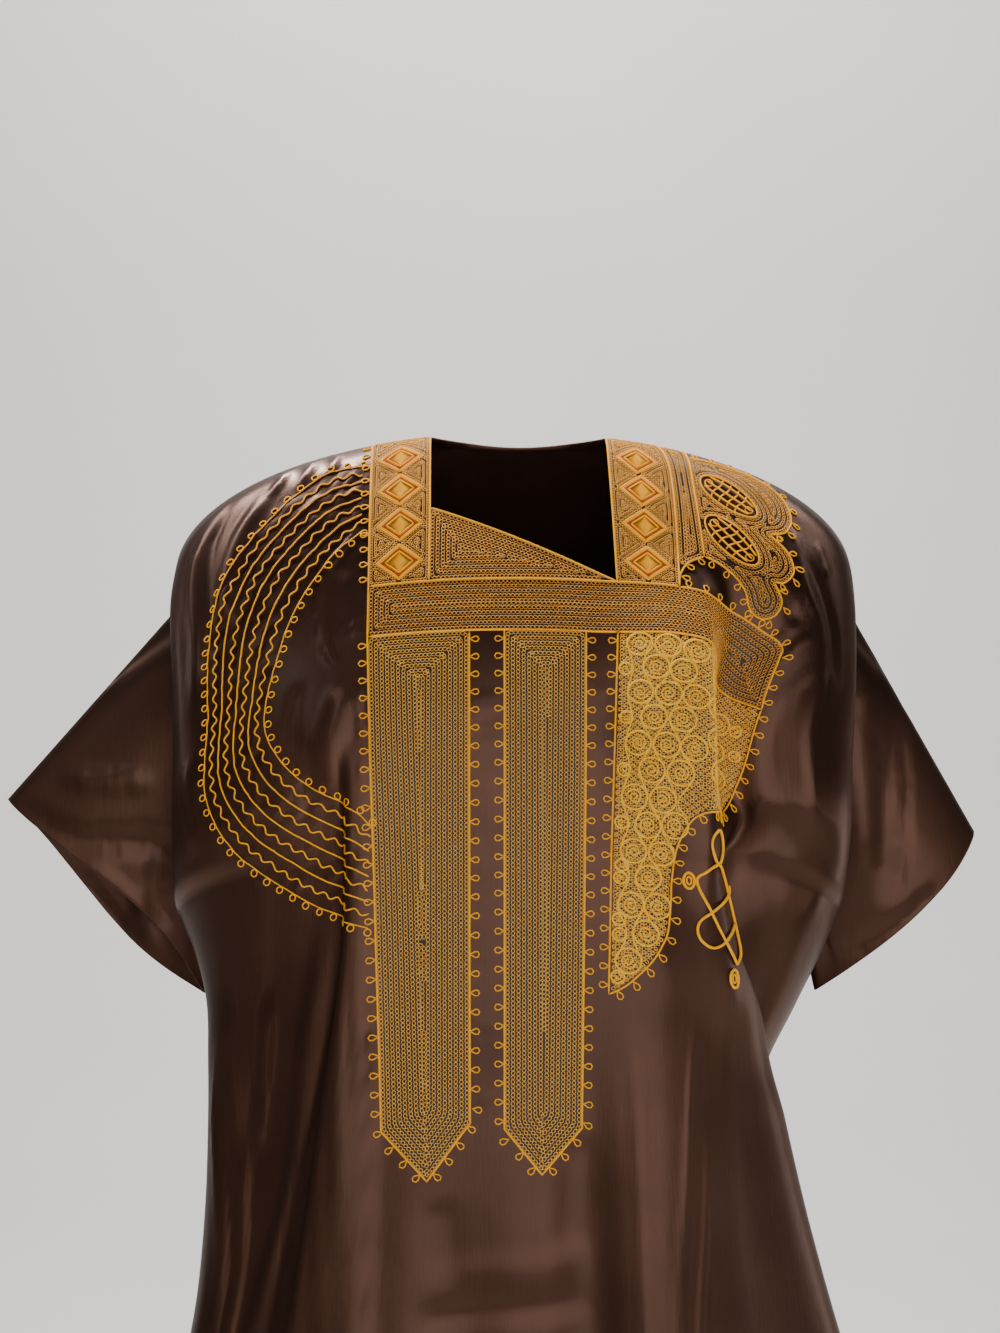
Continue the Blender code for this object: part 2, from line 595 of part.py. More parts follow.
# Sleeves run from the armhole to a slanting cuff. tip and end are the cuff's highest and lowest
# points. The bows curve the two sides of the cuff out past the line between them, most at bow_power.
Cuff = namedtuple("Cuff", "sign tip_x tip_z end_x end_z front_bow back_bow bow_power front_depth back_depth")
CUFFS = {
    "left": Cuff(-1, 0.363, -0.261, 0.222, -0.400, -0.014, 0.013, 1.5, 0.026, 0.028),
    "right": Cuff(1, 0.332, -0.284, 0.218, -0.398, 0.010, 0.000, 0.75, 0.026, 0.028),
}
SLEEVE_START = 0.0013
SLEEVE_BOTTOM = UNDERARM - 0.004
SLEEVE_TUCK = 2.5
TUCK_GROWS = (0.20, 0.60)
TUCK_FADES = (0.80, 1.05)
SLEEVE_RUNS = (0, 0.08, 0.17, 0.28, 0.42, 0.56, 0.70, 0.85, 1.0)
RING_HALF = 13
ARMHOLE_STEP = 0.003

# How far the cuff opens from front to back: the power of its curve, and its width at the tip and how
# much of that is lost by the lower end, as shares of its depth.
CUFF_POWER = 0.7
CUFF_WIDTH = 1.15
CUFF_NARROWING = 0.45

# How strongly a sleeve keeps to the way it leaves the armhole and arrives at the cuff. It leaves
# straight for the cuff at the shoulder, and outward and up under the arm.
LEAVING_PULL = 0.45
ARRIVING_PULL = 0.35
STRAIGHT_UNTIL = 0.30
UNDER_FROM = 0.75
UNDER_RISE = 0.5
START_UNDER_FROM = 0.85


def armhole(cloths, hand, share):
    """Points of the armhole seam and the way the body's cloth runs there, from shoulder to underarm."""
    rings = []
    for cloth in cloths:
        down = share * SLEEVE_BOTTOM
        edge = cloth.edge(hand, down)
        end = cloth.at(edge, down)
        rings.append((end, unit(end - cloth.at(edge - np.sign(edge) * ARMHOLE_STEP, down))))
    return rings


def cuff_side(cuff, share, depth, bow):
    """One side of the cuff, from its tip to its lower end."""
    tip = np.array([cuff.sign * cuff.tip_x, 0, cuff.tip_z])
    end = np.array([cuff.sign * cuff.end_x, 0, cuff.end_z])
    slant = (end - tip) / np.linalg.norm(end - tip)
    out = np.array([slant[2] * -cuff.sign, 0, slant[0] * cuff.sign])
    bulge = np.sin(np.pi * share**cuff.bow_power)[:, None] * bow
    opening = np.sin(np.pi * share) ** CUFF_POWER * (CUFF_WIDTH - CUFF_NARROWING * share)
    side = opening[:, None] * depth * np.array([0, 1, 0])
    return tip + (end - tip) * share[:, None] + out * bulge + side


def turned(ways, toward, amount):
    """Unit ways, each turned toward one way by its own amount from 0 to 1."""
    return unit(ways * (1 - amount[:, None]) + toward * amount[:, None])


def sleeve_rings(cloths, hand):
    """Rings of a sleeve from the armhole to the cuff, each down the front and up the back."""
    cuff = CUFFS[hand]
    share = np.linspace(0, 1, RING_HALF)
    (front, front_way), (back, back_way) = armhole(cloths, hand, share)
    start = np.concatenate([front, back[-2:0:-1]])
    way = np.concatenate([front_way, back_way[-2:0:-1]])
    around = np.concatenate([share, share[-2:0:-1]])
    under = np.array([cuff.sign, 0, UNDER_RISE])
    end = np.concatenate([
        cuff_side(cuff, share, -cuff.front_depth, cuff.front_bow),
        cuff_side(cuff, share, cuff.back_depth, cuff.back_bow)[-2:0:-1],
    ])
    start = start + turned(way, under, eased(around, START_UNDER_FROM, 1.0)) * SLEEVE_START
    leaving = turned(way, unit(end - start), eased(-around, -STRAIGHT_UNTIL, 0))
    leaving = turned(leaving, under, eased(around, UNDER_FROM, 1.0))
    length = np.linalg.norm(end - start, axis=1, keepdims=True)
    tuck = eased(around, *TUCK_GROWS) * (1 - eased(around, *TUCK_FADES))
    rings = []
    for t in SLEEVE_RUNS:
        hold = t * (1 - t) ** 2 * LEAVING_PULL * length * leaving
        arrive = -(t**2) * (1 - t) * ARRIVING_PULL * (end - start)
        ring = start + (end - start) * (3 * t**2 - 2 * t**3) + hold + arrive
        tucked = (1 - t) ** (1 + SLEEVE_TUCK * tuck)
        ring[:, 1] = end[:, 1] + (start[:, 1] - end[:, 1]) * tucked
        rings.append(ring)
    return np.array(rings)


def make_sleeve(cloths, hand):
    """Wall of one sleeve, open at both ends."""
    rings = sleeve_rings(cloths, hand)
    runs, around = rings.shape[:2]
    along = np.gradient(rings, axis=0)
    about = (np.roll(rings, -1, axis=1) - np.roll(rings, 1, axis=1)) / 2
    normal = unit(np.cross(about, along) * -CUFFS[hand].sign)
    faces = []
    for i in range(runs - 1):
        for j in range(around):
            k = (j + 1) % around
            a, b, c, d = i * around + j, i * around + k, (i + 1) * around + k, (i + 1) * around + j
            faces += [(a, b, c), (a, c, d)]
    faces = np.array(faces)
    if hand == "right":
        faces = faces[:, ::-1]
    outer = (rings + normal * WALL / 2).reshape(-1, 3)
    inner = (rings - normal * WALL / 2).reshape(-1, 3)
    wall_mesh("sleeve_" + hand, outer, inner, faces, BROWN, SATIN_ROUGHNESS)


def main():
    for obj in list(bpy.data.objects):
        bpy.data.objects.remove(obj)
    front = Cloth("front")
    back = Cloth("back")

    front_net = Net(front, front_guides(front), FRONT_ROWS)
    last = len(front_net.counts) - 1

    def idle_pleat(places):
        """Columns of the right pleat's hidden cloth, at levels where it has none."""
        low, high = front_net.counts[last - 3], front_net.counts[last - 1]
        level = np.interp(places[:, 1], np.arange(len(FRONT_ROWS)), FRONT_ROWS)
        return (places[:, 0] > low) & (places[:, 0] < high) & (level < FLAT_LEVEL)

    neck = divided((*NECK_LEFT, *NECK_RIGHT[::-1], NECK_RIGHT[0]))
    make_body("front", front_net, panel_outline(front_net, neck), FIELDS, idle_pleat)

    back_net = Net(back, back_guides(back), BACK_ROWS)
    across = np.linspace(*BACK_NECK, BACK_NECK_POINTS)
    dip = 1 - ((across - np.mean(BACK_NECK)) / (np.ptp(BACK_NECK) / 2)) ** 2
    neck = np.column_stack([across, SHOULDER_SEAM_GAP + BACK_NECK_DEPTH * dip])
    make_body("back", back_net, panel_outline(back_net, neck), {})

    for hand in ("left", "right"):
        make_sleeve((front, back), hand)


main()
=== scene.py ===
"""Looks of the abaya: brown satin, gold chain stitching and cords, with floor, lights and camera.

A place on the body's cloth is given by two cloth distances: `across`, from the middle, and `down`,
from the shoulder line. The sections and folds are those of the part, so each piece lies on its solid.
The tables of creases and embroidery are in millimetres of cloth and everything else is in metres.
Left and right mean left and right as seen from in front.
"""

from collections import namedtuple

import bpy
import numpy as np
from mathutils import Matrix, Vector
from mathutils.geometry import delaunay_2d_cdt
from mathutils.kdtree import KDTree


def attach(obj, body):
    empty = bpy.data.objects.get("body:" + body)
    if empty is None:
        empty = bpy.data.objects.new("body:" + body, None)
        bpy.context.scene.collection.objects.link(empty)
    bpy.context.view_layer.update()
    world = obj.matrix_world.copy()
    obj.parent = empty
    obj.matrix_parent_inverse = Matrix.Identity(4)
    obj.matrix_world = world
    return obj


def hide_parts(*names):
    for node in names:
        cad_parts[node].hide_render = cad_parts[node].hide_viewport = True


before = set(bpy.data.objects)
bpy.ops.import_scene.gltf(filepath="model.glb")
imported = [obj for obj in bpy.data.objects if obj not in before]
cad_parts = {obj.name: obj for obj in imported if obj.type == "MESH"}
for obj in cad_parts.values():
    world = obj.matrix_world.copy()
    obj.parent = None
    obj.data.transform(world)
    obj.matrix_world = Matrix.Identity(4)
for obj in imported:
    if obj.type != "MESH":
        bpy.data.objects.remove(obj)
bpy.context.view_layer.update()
random = np.random.default_rng(7)

# Cloth and thread. A yarn becomes a tube with so many sides.
HALF_CLOTH = 0.0006
SEAM_GAP = 0.0001
STITCH_LIFT = 0.0003
Yarn = namedtuple("Yarn", "radius sides")
CHAIN_THREAD = Yarn(0.00035, 3)
HEM_THREAD = Yarn(0.00022, 4)
BORDER_CORD = Yarn(0.0007, 6)
CORD = Yarn(0.0007, 5)
THIN_CORD = Yarn(0.0005, 5)
ARC_CORD = Yarn(0.00062, 5)
COIL_CORD = Yarn(0.00075, 5)
KNOT_CORD = Yarn(0.00105, 6)

# Sections of the body, as in the part: heights and depths of the middle of the front and back, the
# widest reach of each side, how far round the seam lies in degrees, the power of the section's
# curve, and where the seam is.
Section = namedtuple(
    "Section",
    "down front_z front_y back_z back_y left right wrap square front_seam_y back_seam_y seam_z",
)
BODY = (
    Section(0.000, 0.003, 0.000, 0.003, 0.000, 0.242, 0.243, 101, 2.00, 0.000, 0.000, -0.119),
    Section(0.016, -0.004, -0.014, -0.004, 0.014, 0.242, 0.243, 103, 2.00, -0.008, 0.008, -0.127),
    Section(0.048, -0.028, -0.037, -0.026, 0.034, 0.243, 0.243, 106, 2.00, -0.020, 0.020, -0.147),
    Section(0.098, -0.070, -0.065, -0.068, 0.062, 0.241, 0.242, 110, 2.05, -0.030, 0.034, -0.177),
    Section(0.154, -0.120, -0.090, -0.120, 0.086, 0.238, 0.240, 113, 2.10, -0.036, 0.042, -0.215),
    Section(0.210, -0.172, -0.110, -0.172, 0.100, 0.237, 0.237, 115, 2.15, -0.036, 0.044, -0.258),
    Section(0.271, -0.230, -0.125, -0.230, 0.108, 0.237, 0.235, 117, 2.20, -0.034, 0.040, -0.308),
    Section(0.310, -0.269, -0.130, -0.269, 0.110, 0.236, 0.231, 118, 2.20, -0.024, 0.028, -0.343),
    Section(0.325, -0.284, -0.131, -0.284, 0.110, 0.236, 0.229, 118, 2.20, -0.013, 0.015, -0.357),
    Section(0.332, -0.291, -0.132, -0.291, 0.110, 0.234, 0.227, 118, 2.20, 0.000, 0.000, -0.363),
    Section(0.355, -0.313, -0.134, -0.313, 0.110, 0.225, 0.219, 119, 2.25, 0.000, 0.000, -0.385),
    Section(0.392, -0.350, -0.137, -0.350, 0.109, 0.215, 0.201, 120, 2.30, 0.000, 0.000, -0.424),
    Section(0.440, -0.398, -0.140, -0.398, 0.108, 0.213, 0.181, 121, 2.30, 0.000, 0.000, -0.473),
    Section(0.490, -0.448, -0.142, -0.448, 0.109, 0.213, 0.190, 121, 2.35, 0.000, 0.000, -0.523),
    Section(0.550, -0.508, -0.147, -0.508, 0.112, 0.215, 0.205, 121, 2.40, 0.000, 0.000, -0.580),
    Section(0.620, -0.577, -0.153, -0.577, 0.119, 0.222, 0.222, 120, 2.40, 0.000, 0.000, -0.645),
    Section(0.700, -0.657, -0.160, -0.657, 0.128, 0.240, 0.244, 118, 2.40, 0.000, 0.000, -0.720),
    Section(1.000, -0.955, -0.190, -0.955, 0.170, 0.322, 0.322, 110, 2.40, 0.000, 0.000, -1.000),
    Section(1.447, -1.400, -0.230, -1.400, 0.225, 0.425, 0.420, 104, 2.30, 0.000, 0.000, -1.405),
)
HEM = BODY[-1].down
UNDERARM = 0.332

# Pleats, as in the part: at edge the cloth turns back by angle degrees, runs over flank and turns
# forward again.
PleatPlace = namedtuple("PleatPlace", "down edge flank angle")
PLEATS = {
    "chest_ridge": (
        PleatPlace(0.105, 0.130, 0.016, 0),
        PleatPlace(0.130, 0.132, 0.022, 25),
        PleatPlace(0.180, 0.134, 0.036, 66),
        PleatPlace(0.280, 0.135, 0.042, 75),
        PleatPlace(0.330, 0.133, 0.030, 58),
        PleatPlace(0.380, 0.129, 0.034, 30),
        PleatPlace(0.440, 0.125, 0.073, 16),
        PleatPlace(0.560, 0.124, 0.118, 12),
        PleatPlace(0.700, 0.130, 0.160, 10),
        PleatPlace(1.000, 0.160, 0.210, 10),
        PleatPlace(1.447, 0.220, 0.250, 10),
    ),
    "right_pleat": (
        PleatPlace(0.105, 0.168, 0.024, 0),
        PleatPlace(0.180, 0.174, 0.024, 0),
        PleatPlace(0.280, 0.176, 0.024, 0),
        PleatPlace(0.330, 0.163, 0.026, 95),
        PleatPlace(0.380, 0.163, 0.036, 140),
        PleatPlace(0.440, 0.198, 0.045, 155),
        PleatPlace(0.560, 0.242, 0.045, 155),
        PleatPlace(0.700, 0.290, 0.045, 135),
        PleatPlace(1.000, 0.370, 0.050, 95),
        PleatPlace(1.447, 0.470, 0.060, 45),
    ),
    "left_tuck": (
        PleatPlace(0.250, 0.110, 0.008, 0),
        PleatPlace(0.300, 0.112, 0.009, 70),
        PleatPlace(0.380, 0.113, 0.010, 80),
        PleatPlace(0.510, 0.131, 0.010, 80),
        PleatPlace(0.645, 0.155, 0.010, 70),
        PleatPlace(1.000, 0.220, 0.010, 40),
        PleatPlace(1.250, 0.260, 0.010, 0),
    ),
}
Pleat = namedtuple("Pleat", "name side hand turn rise recovery rise_share")
PLEAT_LIST = (
    Pleat("chest_ridge", "front", "right", 0.014, 0.080, 0.080, 0.35),
    Pleat("right_pleat", "front", "right", 0.020, 0.080, 0.100, 0.45),
    Pleat("left_tuck", "front", "left", 0.005, 0.040, 0.050, 0.50),
)

# Soft folds: a ridge, or a trough where the height is negative. across is to the right of the middle.
Fold = namedtuple("Fold", "side down_from across_from down_to across_to half_width height_from height_to")
FOLDS = (
    Fold("front", 0.40, 0.082, 1.447, 0.130, 0.040, 0.001, 0.018),
    Fold("front", 0.48, 0.045, 1.447, 0.070, 0.030, -0.002, -0.012),
    Fold("front", 0.50, -0.033, 1.447, -0.060, 0.040, -0.001, -0.018),
    Fold("front", 0.36, -0.106, 1.447, -0.150, 0.026, 0.002, 0.020),
    Fold("front", 0.36, -0.172, 1.447, -0.290, 0.050, -0.010, -0.026),
    Fold("front", 0.36, 0.143, 0.900, 0.160, 0.012, 0.002, 0.002),
    Fold("front", 0.80, -0.215, 1.447, -0.400, 0.050, 0.000, 0.022),
    Fold("front", 0.75, 0.225, 1.447, 0.315, 0.045, 0.000, 0.016),
    Fold("front", 0.75, 0.280, 1.447, 0.400, 0.045, 0.000, -0.016),
    Fold("front", 0.16, 0.205, 0.340, 0.215, 0.022, 0.004, 0.004),
    Fold("back", 0.42, 0.030, 1.447, 0.060, 0.050, 0.001, 0.020),
    Fold("back", 0.50, -0.045, 1.447, -0.085, 0.048, 0.001, 0.017),
    Fold("back", 0.46, 0.105, 1.447, 0.185, 0.055, -0.001, -0.020),
    Fold("back", 0.40, -0.120, 1.447, -0.215, 0.055, -0.002, -0.022),
    Fold("back", 0.55, 0.180, 1.447, 0.315, 0.055, 0.001, 0.021),
    Fold("back", 0.50, -0.190, 1.447, -0.345, 0.060, 0.001, 0.024),
    Fold("back", 0.60, 0.250, 1.447, 0.440, 0.050, -0.001, -0.015),
    Fold("back", 0.60, -0.260, 1.447, -0.470, 0.050, -0.001, -0.016),
)

# Creases finer than the part's folds, each along a line of places on the cloth. A trough has a
# negative height. Here and in the embroidery a place is its across and down, and all is in
# millimetres of cloth.
Crease = namedtuple("Crease", "half_width height spots")
FRONT_CREASES = (
    Crease(9, 2.5, ((-225, 20), (-235, 55), (-234, 95), (-229, 135), (-226, 200))),
    Crease(9, -1.8, ((-206, 8), (-214, 30), (-222, 65), (-219, 120), (-216, 190))),
    Crease(12, 2.8, ((-176, 20), (-184, 38), (-197, 62), (-204, 95), (-206, 150))),
    Crease(6, 2.2, ((-143, 2), (-146, 16), (-152, 34))),
    Crease(5, 1.8, ((-127, 3), (-127, 15), (-131, 30))),
    Crease(6, 2.2, ((-162, 4), (-168, 20), (-176, 34))),
    Crease(4, 1.8, ((-104, 78), (-117, 99), (-128, 114), (-131, 130), (-134, 150), (-130, 170),
                    (-126, 185), (-119, 194), (-106, 190))),
    Crease(13, -1.4, ((-117, 118), (-120, 145), (-116, 172))),
    Crease(5, 1.0, ((-112, 150), (-107, 158), (-109, 168), (-104, 176))),
    Crease(17, 2.6, ((-112, 204), (-119, 232), (-126, 265), (-124, 295))),
    Crease(4, 0.8, ((-109, 208), (-105, 232), (-103, 262), (-103, 285))),
    Crease(10, -1.0, ((-146, 200), (-152, 235), (-150, 260))),
    Crease(8, 1.8, ((-233, 230), (-236, 270), (-232, 310))),
    Crease(6, -1.6, ((-126, 390), (-141, 475), (-172, 580), (-186, 645), (-205, 740))),
    Crease(6, -1.4, ((-108, 390), (-110, 475), (-112, 560), (-113, 645), (-114, 760))),
    Crease(9, 2.0, ((-184, 410), (-187, 445), (-192, 485), (-196, 525))),
    Crease(7, 2.4, ((-226, 415), (-238, 475), (-234, 535), (-231, 595), (-240, 660), (-262, 800))),
    Crease(7, 1.9, ((-208, 500), (-213, 545), (-215, 595), (-226, 660), (-240, 780))),
    Crease(12, 2.6, ((-134, 360), (-141, 400), (-153, 460), (-166, 540), (-192, 615), (-215, 700))),
    Crease(4, 1.0, ((-106, 400), (-101, 485), (-99, 545), (-99, 605), (-98, 700))),
    Crease(12, -2.0, ((-120, 480), (-124, 550), (-122, 650), (-126, 760))),
    Crease(8, 1.2, ((76, 420), (82, 480), (86, 550), (90, 650), (100, 820))),
    Crease(4, 1.0, ((124, 420), (119, 480), (116, 555), (112, 650), (112, 780))),
    Crease(5, 0.9, ((133, 490), (131, 570), (127, 650), (128, 760))),
    Crease(16, 0.8, ((-72, 618), (-50, 614), (-18, 610), (20, 607), (56, 600))),
    Crease(15, -1.5, ((-74, 645), (-50, 641), (-18, 637), (20, 634), (58, 626))),
    Crease(18, -1.0, ((-50, 560), (-46, 595), (-48, 625))),
    Crease(20, -1.2, ((45, 515), (41, 560), (37, 600))),
    Crease(9, 1.4, ((222, 180), (220, 210), (213, 245), (206, 290), (203, 325))),
    Crease(5, 1.2, ((204, 136), (200, 152), (194, 168))),
    Crease(5, 0.9, ((218, 140), (213, 160), (211, 176))),
    Crease(8, 1.4, ((246, 150), (250, 200), (254, 250), (250, 300))),
    Crease(7, -1.2, ((236, 170), (238, 220), (240, 280))),
    Crease(6, 1.8, ((201, 42), (205, 60), (206, 80), (211, 105), (220, 130))),
    Crease(4, 1.4, ((226, 46), (228, 62), (231, 80))),
    Crease(8, -1.8, ((216, 66), (226, 105), (240, 150), (262, 190))),
    Crease(9, -1.6, ((184, 82), (193, 115), (208, 142))),
    Crease(10, 1.6, ((203, 172), (210, 205), (211, 250))),
    Crease(16, -2.2, ((205, 300), (226, 340), (252, 375), (280, 405), (300, 470))),
    Crease(12, 2.2, ((272, 310), (274, 340), (275, 365), (284, 400), (306, 450))),
    Crease(4, 0.4, ((-26, 222), (-18, 226), (-10, 223))),
    Crease(4, 0.4, ((-26, 259), (-18, 256), (-10, 260))),
    Crease(4, -0.4, ((-26, 240), (-18, 241), (-10, 240))),
    Crease(4, 0.4, ((-25, 300), (-17, 304), (-9, 301))),
    Crease(4, 0.4, ((-25, 346), (-17, 342), (-9, 345))),
    Crease(4, -0.4, ((-25, 372), (-17, 374), (-9, 370))),
    Crease(4, 0.4, ((-25, 398), (-17, 402), (-9, 399))),
    Crease(4, 0.4, ((-25, 450), (-17, 446), (-9, 449))),
    Crease(4, 0.4, ((-25, 492), (-17, 496), (-9, 493))),
    Crease(4, 0.4, ((52, 215), (59, 219), (66, 216))),
    Crease(4, 0.4, ((51, 262), (58, 258), (65, 261))),
    Crease(4, 0.4, ((50, 312), (57, 316), (64, 313))),
    Crease(4, 0.4, ((50, 360), (56, 357), (63, 360))),
    Crease(4, 0.4, ((-108, 240), (-102, 243), (-97, 240))),
    Crease(4, 0.4, ((-106, 395), (-100, 399), (-94, 396))),
    Crease(4, 0.4, ((-104, 452), (-98, 448), (-92, 451))),
)
BACK_CREASES = (
    Crease(9, 3.0, ((-190, 30), (-205, 80), (-214, 150), (-218, 240))),
    Crease(9, 3.0, ((188, 28), (206, 85), (213, 160), (216, 250))),
    Crease(12, -2.5, ((-150, 60), (-160, 140), (-158, 240))),
    Crease(12, -2.5, ((146, 70), (158, 150), (154, 250))),
    Crease(10, 2.5, ((-70, 120), (-20, 140), (40, 138), (90, 118))),
    Crease(8, 2.5, ((-60, 380), (-70, 520), (-84, 700))),
    Crease(8, 2.5, ((70, 400), (78, 520), (98, 720))),
    Crease(9, 3.0, ((-205, 400), (-216, 520), (-240, 680))),
    Crease(9, 3.0, ((196, 420), (210, 540), (236, 700))),
)
CREASES = {"front": FRONT_CREASES, "back": BACK_CREASES}

# Creases of the sleeves. Here a place is two shares: of the way from armhole to cuff, and of the way
# from shoulder to underarm.
SLEEVE_CREASES = {
    "left": (
        Crease(16, 2.6, ((0.97, 0.05), (0.93, 0.18), (0.87, 0.30), (0.73, 0.42), (0.58, 0.55))),
        Crease(14, -2.0, ((0.70, 0.10), (0.62, 0.22), (0.50, 0.34))),
        Crease(13, 2.2, ((0.55, 0.52), (0.75, 0.62), (0.86, 0.77))),
        Crease(10, -1.8, ((0.99, 0.37), (0.96, 0.50), (0.99, 0.68))),
    ),
    "right": (
        Crease(15, -2.4, ((0.22, 0.02), (0.42, 0.28), (0.62, 0.58))),
        Crease(15, 2.4, ((0.42, 0.02), (0.58, 0.30), (0.78, 0.55))),
        Crease(8, 1.4, ((0.46, 0.02), (0.66, 0.26), (0.82, 0.50))),
        Crease(12, 2.0, ((0.80, 0.85), (0.93, 0.55), (0.97, 0.25))),
    ),
}

# Small puckers where the arc is sewn on: how many at most, how many places are tried for each, their
# radii, and their greatest height.
PUCKERS = 900
PUCKER_TRIES = 3
PUCKER_RADIUS = (3.0, 6.5)
PUCKER_HEIGHT = 0.8
PUCKER_FIELD = (
    (-107, 25), (-136, 25), (-172, 50), (-201, 85), (-219, 140), (-218, 275), (-200, 325), (-156, 360),
    (-107, 382), (-107, 300), (-141, 280), (-162, 255), (-172, 225), (-162, 175), (-149, 140),
    (-128, 110), (-106, 88),
)

# The grid of the cloth: its steps and its reach, the points of a bare section and how far they go past
# the seams. LAST_CELL keeps places within the grid's last cell.
LEVEL_STEP = 0.0025
CLOTH_STEP = 0.001
CLOTH_REACH = 0.800
SHARES = 361
PAST_SEAM = 1.06
LAST_CELL = 1.001

# Shares of a fold's or crease's length over which it fades in and out, the steepest slope of a fold,
# and the share of the way to the seam after which folds fade.
FOLD_FADE = 0.15
CREASE_FADE = 0.22
STEEPEST = 0.9
SEAM_FADE = 0.6
CREASE_STEP = 2.0
TINY = 1e-12


def through(rows, column, at):
    """Smooth curve of one column of a table against its first column, held level past its ends."""
    x = np.array([row[0] for row in rows], float)
    y = np.array([getattr(row, column) for row in rows], float)
    slope = np.gradient(y, x)
    at = np.clip(at, x[0], x[-1])
    i = np.clip(np.searchsorted(x, at) - 1, 0, len(x) - 2)
    step = x[i + 1] - x[i]
    t = (at - x[i]) / step
    start = y[i] * (1 + 2 * t) * (1 - t) ** 2 + step * slope[i] * t * (1 - t) ** 2
    end = y[i + 1] * t**2 * (3 - 2 * t) - step * slope[i + 1] * t**2 * (1 - t)
    return start + end


def eased(value, start, end):
    """0 before start, 1 after end and a smooth step between."""
    t = np.clip((value - start) / (end - start), 0, 1)
    return t * t * (3 - 2 * t)


def bump(value, start, end):
    """Smooth hump between start and end whose area is 1."""
    t = np.clip((value - start) / (end - start), 0, 1)
    return 30 * (t * (1 - t)) ** 2 / (end - start)


def unit(vectors):
    """Vectors scaled to length 1."""
    length = np.linalg.norm(vectors, axis=-1, keepdims=True)
    return vectors / np.maximum(length, TINY)


def faded(height, count):
    """Height of a crease at each point of its line, fading at both ends."""
    t = np.linspace(0, 1, count)
    return height * eased(t, 0, CREASE_FADE) * eased(-t, -1, CREASE_FADE - 1)


def ridge(away):
    """Section of a crease of height 1, at distances from its line in half widths."""
    share = np.clip(away, 0, 1)
    return (1 - share) ** 2 * (1 + 2 * share)


def running_sum(values, step):
    """Integral of each row from its first column."""
    middle = (values[:, 1:] + values[:, :-1]) / 2
    return np.concatenate([np.zeros((len(values), 1)), np.cumsum(middle, axis=1) * step], axis=1)


def bare_body(side, levels):
    """Unfolded sections of the front or the back: points, outward normals and cloth distances."""
    share = np.linspace(-PAST_SEAM, PAST_SEAM, SHARES)[None, :]
    value = {name: through(BODY, name, levels)[:, None] for name in Section._fields}
    value["front_seam_y"] = np.minimum(value["front_seam_y"], 0)
    value["back_seam_y"] = np.maximum(value["back_seam_y"], 0)
    turn = np.radians(value["wrap"]) * share
    power = 2 / value["square"]
    reach = np.where(share < 0, value["left"], value["right"])
    x = reach * np.sign(turn) * np.abs(np.sin(turn)) ** power
    toward = np.sign(np.cos(turn)) * np.abs(np.cos(turn)) ** power
    end = np.cos(np.radians(value["wrap"]))
    end = np.sign(end) * np.abs(end) ** power
    blend = (1 - toward) / (1 - end)
    y = value[side + "_y"] + (value[side + "_seam_y"] - value[side + "_y"]) * blend
    z = value[side + "_z"] + (value["seam_z"] - value[side + "_z"]) * blend
    points = np.stack([x, y, z], axis=2)

    along = np.gradient(points, axis=1)
    down = np.gradient(points, levels, axis=0)
    normals = unit(np.cross(down, along) if side == "front" else np.cross(along, down))

    steps = np.linalg.norm(np.diff(points, axis=1), axis=2)
    across = np.concatenate([np.zeros((len(levels), 1)), np.cumsum(steps, axis=1)], axis=1)
    across -= across[:, SHARES // 2, None]
    seams = [np.array([np.interp(s, share[0], row) for row in across]) for s in (-1, 1)]
    return points, normals, across, seams


def soft_height(side, across, levels):
    """Height of all the soft folds together, and its slope across the cloth."""
    height = np.zeros((len(levels), across.shape[1]))
    for fold in FOLDS:
        if fold.side != side:
            continue
        t = (levels - fold.down_from) / (fold.down_to - fold.down_from)
        middle = fold.across_from + (fold.across_to - fold.across_from) * t
        size = fold.height_from + (fold.height_to - fold.height_from) * t
        size = size * eased(t, -FOLD_FADE, FOLD_FADE) * eased(-t, -1 - FOLD_FADE, FOLD_FADE - 1)
        away = (across - middle[:, None]) / fold.half_width
        height += size[:, None] * np.clip(1 - away**2, 0, 1) ** 2
    return height, np.gradient(height, CLOTH_STEP, axis=1)


def crease_height(side, across, levels):
    """Height of the fine creases and puckers over a side's grid, in metres."""
    height = np.zeros((len(levels), len(across)))

    def raise_along(line, half_width, sizes):
        """Add a ridge along a line, with its height at each point of the line."""
        low, high = line.min(axis=0) - half_width, line.max(axis=0) + half_width
        rows = slice(*np.searchsorted(levels * 1000, (low[1], high[1])))
        columns = slice(*np.searchsorted(across * 1000, (low[0], high[0])))
        x, y = np.meshgrid(across[columns] * 1000, levels[rows] * 1000)
        away = np.hypot(x[..., None] - line[:, 0], y[..., None] - line[:, 1])
        if away.size:
            nearest = away.argmin(axis=-1)
            height[rows, columns] += ridge(away.min(axis=-1) / half_width) * sizes[nearest] / 1000

    for crease in CREASES[side]:
        line = curve_through(crease.spots, CREASE_STEP)
        raise_along(line, crease.half_width, faded(crease.height, len(line)))
    if side == "front":
        field = np.array(PUCKER_FIELD, float)
        places = random.uniform(field.min(axis=0), field.max(axis=0), (PUCKERS * PUCKER_TRIES, 2))
        for place in places[within(places, field)][:PUCKERS]:
            size = random.uniform(-PUCKER_HEIGHT, PUCKER_HEIGHT, 1)
            raise_along(place[None], random.uniform(*PUCKER_RADIUS), size)
    return height


